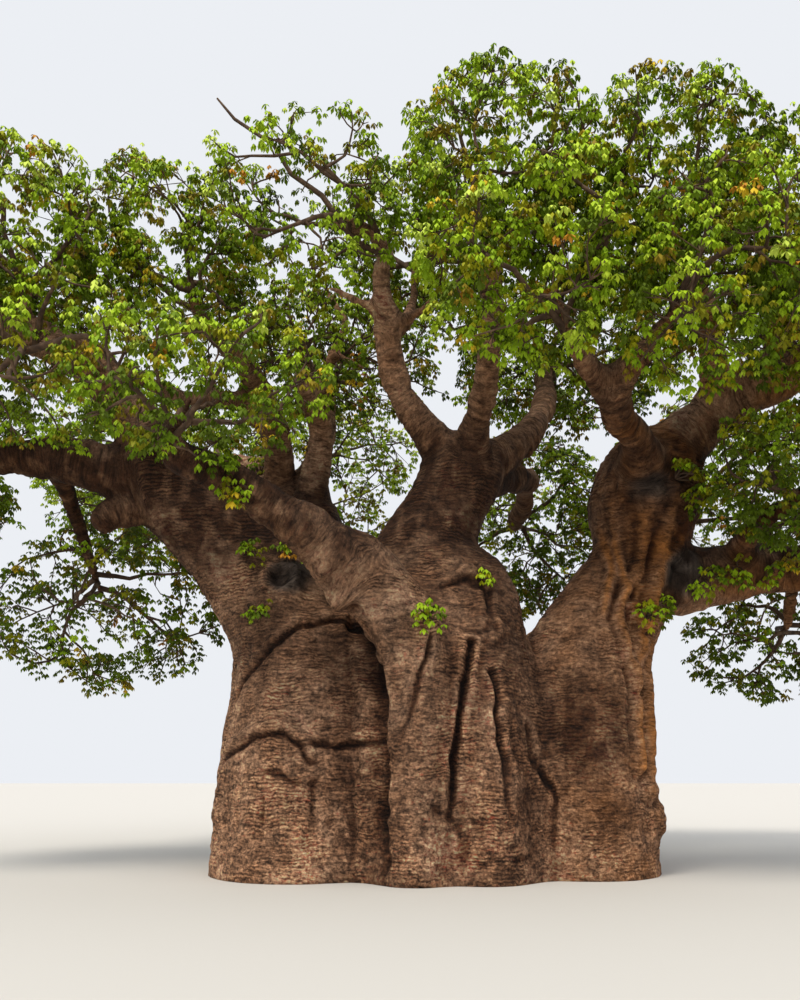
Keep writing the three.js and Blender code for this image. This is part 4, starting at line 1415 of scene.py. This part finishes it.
def bark_streaks(material, place):
    """The base colour: blotches 700 mm wide, with long pale streaks down them."""
    blotch = add_node(material, "ShaderNodeTexNoise",
                      {"Scale": per_metre(700), "Detail": 5, "Roughness": 0.62}, [("Vector", *place)])
    base = add_node(material, "ShaderNodeValToRGB", (), [("Fac", blotch, "Fac")],
                    [(0.3, "#7c6250"), (0.45, "#a88a74"), (0.6, "#c6a992"), (0.75, "#e2c7b0")])
    stretch = add_node(material, "ShaderNodeMapping",
                       {"Scale": (per_metre(142.857), per_metre(142.857), per_metre(909.09))},
                       [("Vector", *place)])
    streak = add_node(material, "ShaderNodeTexNoise", {"Scale": 1, "Detail": 4, "Roughness": 0.65},
                      [("Vector", stretch, "Vector")])
    stops = [(0.3, "#8a7f76"), (0.5, "#b5aea7"), (0.7, "#d6cfc6")]
    return lay_over(material, (base, "Color"), (streak, "Fac"), stops, OVERLAY, 0.5)[1]


def bark_wrinkles(material, old_skin, place, skin, under):
    """Wavy wrinkles across the skin, in patches 450 mm wide and deeper on the old skin of the trunk; their
    colour is painted shade in the grooves and a painted highlight on the ridges.
    """
    wrinkle = add_node(material, "ShaderNodeTexWave",
                       {"bands_direction": "Z", "Scale": per_wave(48), "Distortion": 16, "Detail": 5,
                        "Detail Scale": 0.4, "Detail Roughness": 0.66}, [("Vector", *skin)]), "Fac"
    patch = add_node(material, "ShaderNodeTexNoise", {"Scale": per_metre(450), "Detail": 2},
                     [("Vector", *place)])
    most = add_node(material, "ShaderNodeMapRange", {"To Min": 0.3, "To Max": 0.9}, [("Value", *old_skin)])
    wrinkling = add_node(material, "ShaderNodeMapRange",
                         {"From Min": 0.38, "From Max": 0.62, "To Min": 0.1},
                         [("Value", patch, "Fac"), ("To Max", most, "Result")]), "Result"
    # Painted shade in the wrinkles' grooves and a painted highlight on their ridges
    stops = [(0.0, "#655a52"), (0.35, "#b3aca5"), (1.0, "#d2cac1")]
    return wrinkle, wrinkling, lay_over(material, under, wrinkle, stops, OVERLAY, wrinkling)[1]


def bark_pits(material, skin, under):
    """Flat pits and strokes, 60 mm high and nearly three times as wide."""
    squeeze = add_node(material, "ShaderNodeMapping",
                       {"Scale": (per_metre(166.667), per_metre(166.667), per_metre(60))},
                       [("Vector", *skin)])
    pit = add_node(material, "ShaderNodeTexNoise",
                   {"Scale": 1, "Detail": 6, "Roughness": 0.72, "Lacunarity": 2.2, "Distortion": 0.5},
                   [("Vector", squeeze, "Vector")])
    stops = [(0.34, "#423a33"), (0.47, "#ada69f"), (0.66, "#efe8de")]
    return (pit, "Fac"), *lay_over(material, under, (pit, "Fac"), stops, OVERLAY, 0.9)


def bark_grit(material, place, height, under):
    """Lumpy grit of 45 mm, strongest at the foot."""
    grit = add_node(material, "ShaderNodeTexNoise",
                    {"Scale": per_metre(45), "Detail": 3, "Roughness": 0.7, "Distortion": 0.3},
                    [("Vector", *place)]), "Fac"
    crust = add_node(material, "ShaderNodeMapRange",
                     {"From Min": 0.8, "From Max": 4.0, "To Min": 0.8, "To Max": 0.35}, [("Value", *height)])
    stops = [(0.36, "#4c443d"), (0.5, "#b9b2ab"), (0.64, "#fff8ee")]
    return grit, lay_over(material, under, grit, stops, OVERLAY, (crust, "Result"))[1]


def bark_plates(material, place, height, pit, under):
    """Fine cracks between plates 140 mm wide and 80 mm high, strongest at the foot."""
    strayed = add_node(material, "ShaderNodeMix", PUSH | {MIX_FACTOR: 0.12},
                       [(MIX_FIRST, *place), (MIX_SECOND, pit[0], "Color")])
    flatten = add_node(material, "ShaderNodeMapping",
                       {"Scale": (per_metre(140), per_metre(140), per_metre(80))},
                       [("Vector", strayed, MIX_RESULT)])
    plate = add_node(material, "ShaderNodeTexVoronoi", {"feature": "DISTANCE_TO_EDGE", "Scale": 1},
                     [("Vector", flatten, "Vector")])
    low = add_node(material, "ShaderNodeMapRange",
                   {"From Min": 0.5, "From Max": 3.2, "To Min": 0.3, "To Max": 0.12}, [("Value", *height)])
    stops = [(0.0, "#4a403a"), (0.11, "#ffffff")]
    return lay_over(material, under, (plate, "Distance"), stops, MULTIPLY, (low, "Result"))


def bark_wear(material, looks, pits, colour):
    """Rust-brown worn skin and grey healed scars, both pitted."""
    for look, bare, pitting in (("rust", "#b0763f", 0.85), ("scar", "#726963", 0.8)):
        pitted = add_node(material, "ShaderNodeMix",
                          OVERLAY | {MIX_FACTOR: pitting, MIX_FIRST: linear(bare)}, [(MIX_SECOND, *pits)])
        links = [(MIX_FACTOR, *looks[look]), (MIX_FIRST, *colour), (MIX_SECOND, pitted, MIX_RESULT)]
        colour = add_node(material, "ShaderNodeMix", COVER, links), MIX_RESULT
    return colour


def bark_shade(material, looks, colour):
    """A painted highlight on ridges, painted shade in hollows, cracks and folds and between parts, and dark
    stains with painted shade from the crown.
    """
    shades = {
        "ridge_highlight": [(0.0, "#ebebeb"), (1.0, "#ffffff")],
        "hollow_shade": [(0.0, "#ffffff"), (0.45, "#9b8d84"), (1.0, "#40352f")],
        "grime": [(0.0, "#ffffff"), (1.0, "#6e625a")],
    }
    for look, stops in shades.items():
        _, colour = lay_over(material, colour, looks[look], stops, MULTIPLY, 1)
    return colour


def twig_material():
    """Young baobab bark, smooth and dull: a grey-brown skin, mottled every 100 mm or so."""
    material, shader = new_material("twig_bark", 0.85)
    place = add_node(material, "ShaderNodeTexCoord")
    mottle = add_node(material, "ShaderNodeTexNoise", {"Scale": per_metre(100), "Detail": 3},
                      [("Vector", place, "Object")])
    base = add_node(material, "ShaderNodeValToRGB", (), [("Fac", mottle, "Fac")],
                    [(0.3, "#392a22"), (0.55, "#54402f"), (0.75, "#735d4b")])
    material.node_tree.links.new(base.outputs["Color"], shader.inputs["Base Color"])
    return material


def leaf_tone_and_shade(mass, places):
    """How much lighter or darker than most the leaves are: in clumps, and painted light and shade, lighter
    towards a mass's top and darker inside a mass, below and to the tree's right."""
    height = (places[:, 2] - mass.centre[2]) / mass.extent[2]
    inside = 1 - mass.outwardness(places)
    low = 1 - ease(places[:, 2], 4.6, 6.2)
    # Painted light and shade: lighter towards the top, darker inside, low down and to the tree's right
    tone = 0.12 + 0.1 * height + 0.2 * noise(places, 0.8, 151, 2)
    return tone - 0.7 * np.clip(inside, 0, 0.6) - 0.1 * ease(places[:, 0], -1, 2) - 0.45 * low


def leaf_materials():
    """Baobab leaves, soft thin blades with a satin face: plain greens, and a few turning yellow, amber or
    olive."""
    made = []
    for name, colour, _ in LEAF_COLOURS + TURNING_COLOURS:
        material, shader = new_material(name, 0.6, 0.15)
        shader.inputs["Base Color"].default_value = linear(colour)
        made.append(material)
    return made


# Putting it together

def make_bark():
    """One skin for the trunk, the boughs and the limbs."""
    bark = fuse_wood()
    shape_bark(bark)
    bark.data.materials.clear()
    bark.data.materials.append(bark_material())
    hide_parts("trunk", *BOUGHS, *[m.limb_name for m in masses if m.name in LIMBS])
    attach(bark, "root")
    return bark


def dealt(colours, chances):
    """Which of the colours each chance picks, or how many colours there are where it picks none."""
    return np.searchsorted(np.cumsum([share for _, _, share in colours]), chances)


def make_leaves(name, seed, places, roots, item, tone):
    """One piece of leafy shoots, its colours dealt out by shoot and moved lighter or darker by tone."""
    verts, tris = leaf_arrays(seed + 100, places, roots, item)
    leaves = make_object(f"leaves_{name}", verts, tris)
    for shade in leaf_shades:
        leaves.data.materials.append(shade)
    shades = dealt(LEAF_COLOURS, chance(seed, item, 41) + tone).clip(0, len(LEAF_COLOURS) - 1)
    turning = dealt(TURNING_COLOURS, chance(seed, item, 42))
    shades = np.where(turning < len(TURNING_COLOURS), len(LEAF_COLOURS) + turning, shades)
    shades = np.repeat(shades, LEAVES * LEAFLETS * TRIANGLES_TO_A_LEAFLET)
    leaves.data.polygons.foreach_set("material_index", shades.astype(np.int32))
    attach(leaves, "root")
    return leaves


def make_twigs(name, groups):
    """One piece of twigs: each group has its lines, and the radii along them with the number of sides."""
    verts, tris = joined([twig_tubes(lines, radii, sides) for lines, (radii, sides) in groups])
    twigs = make_object(f"twigs_{name}", verts, tris)
    twigs.data.materials.append(twig_bark)
    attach(twigs, "root")
    return twigs


def make_mass(mass):
    """The leaves and twigs of one mass."""
    main, sprays = grow_skeleton(mass)
    if mass.name == "centre_top":
        main = np.concatenate([main, [LONG_TWIG]])
    fine = grow_twigs(mass, sprays)
    places, roots, item = grow_shoots(mass, sprays, fine)
    leaves = make_leaves(mass.name, mass.seed, places, roots, item, leaf_tone_and_shade(mass, places))
    shoots = np.stack([roots, places], axis=1)
    twigs = make_twigs(mass.name, [
        (main, MAIN_TWIG),
        (sprays, SPRAY_TWIG),
        (fine, FINE_TWIG),
        (shoots, SHOOT_TWIG),
    ])
    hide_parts(f"foliage_{mass.name}")
    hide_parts(f"foliage_{mass.name}")


def make_sprouts(bark):
    """The leafy sprouts that stand on the bark of the trunk and boughs."""
    places, roots, item = sprout_places(bark)
    make_leaves("on_trunk", SPROUT_SEED, places, roots, item, np.full(len(places), SPROUT_TONE))
    make_twigs("on_trunk", [(bowed_lines(roots, places, 0.1, SPROUT_RINGS, SPROUT_SEED + 1), SPROUT_TWIG)])


def lay_floor():
    bpy.ops.mesh.primitive_plane_add(size=FLOOR_SIZE, location=(0, 0, -FLOOR_DROP))
    floor = bpy.context.object
    floor.name = "floor"
    material, shader = new_material("studio_floor", 0.9)
    shader.inputs["Base Color"].default_value = linear(FLOOR_COLOUR)
    floor.data.materials.append(material)


def light_sky():
    world = bpy.data.worlds.new("studio")
    bpy.context.scene.world = world
    world.use_nodes = True
    sky = world.node_tree.nodes["Background"]
    sky.inputs["Color"].default_value = linear(SKY_COLOUR)
    sky.inputs["Strength"].default_value = 1.0
    bpy.context.scene.view_settings.view_transform = "Standard"


def add_sun(name, strength, angle, rotation, colour):
    light = bpy.data.lights.new(name, "SUN")
    light.energy = strength
    light.angle = math.radians(angle)
    light.color = linear(colour)[:3]
    obj = bpy.data.objects.new(name, light)
    obj.rotation_euler = [math.radians(a) for a in rotation]
    bpy.context.scene.collection.objects.link(obj)


def add_camera():
    data = bpy.data.cameras.new("camera")
    data.lens = CAMERA_LENS
    data.sensor_width = CAMERA_SENSOR
    data.shift_y = CAMERA_SHIFT
    data.clip_end = VIEW_END
    camera = bpy.data.objects.new("camera", data)
    camera.location = CAMERA_PLACE
    camera.rotation_euler = (math.pi / 2 + CAMERA_TILT, 0, 0)
    bpy.context.scene.collection.objects.link(camera)
    bpy.context.scene.camera = camera


bark = make_bark()
leaf_shades = leaf_materials()
twig_bark = twig_material()
for mass in masses:
    make_mass(mass)
make_sprouts(bark)

lay_floor()
light_sky()
for name, sun in SUNS.items():
    add_sun(name, *sun)
add_camera()
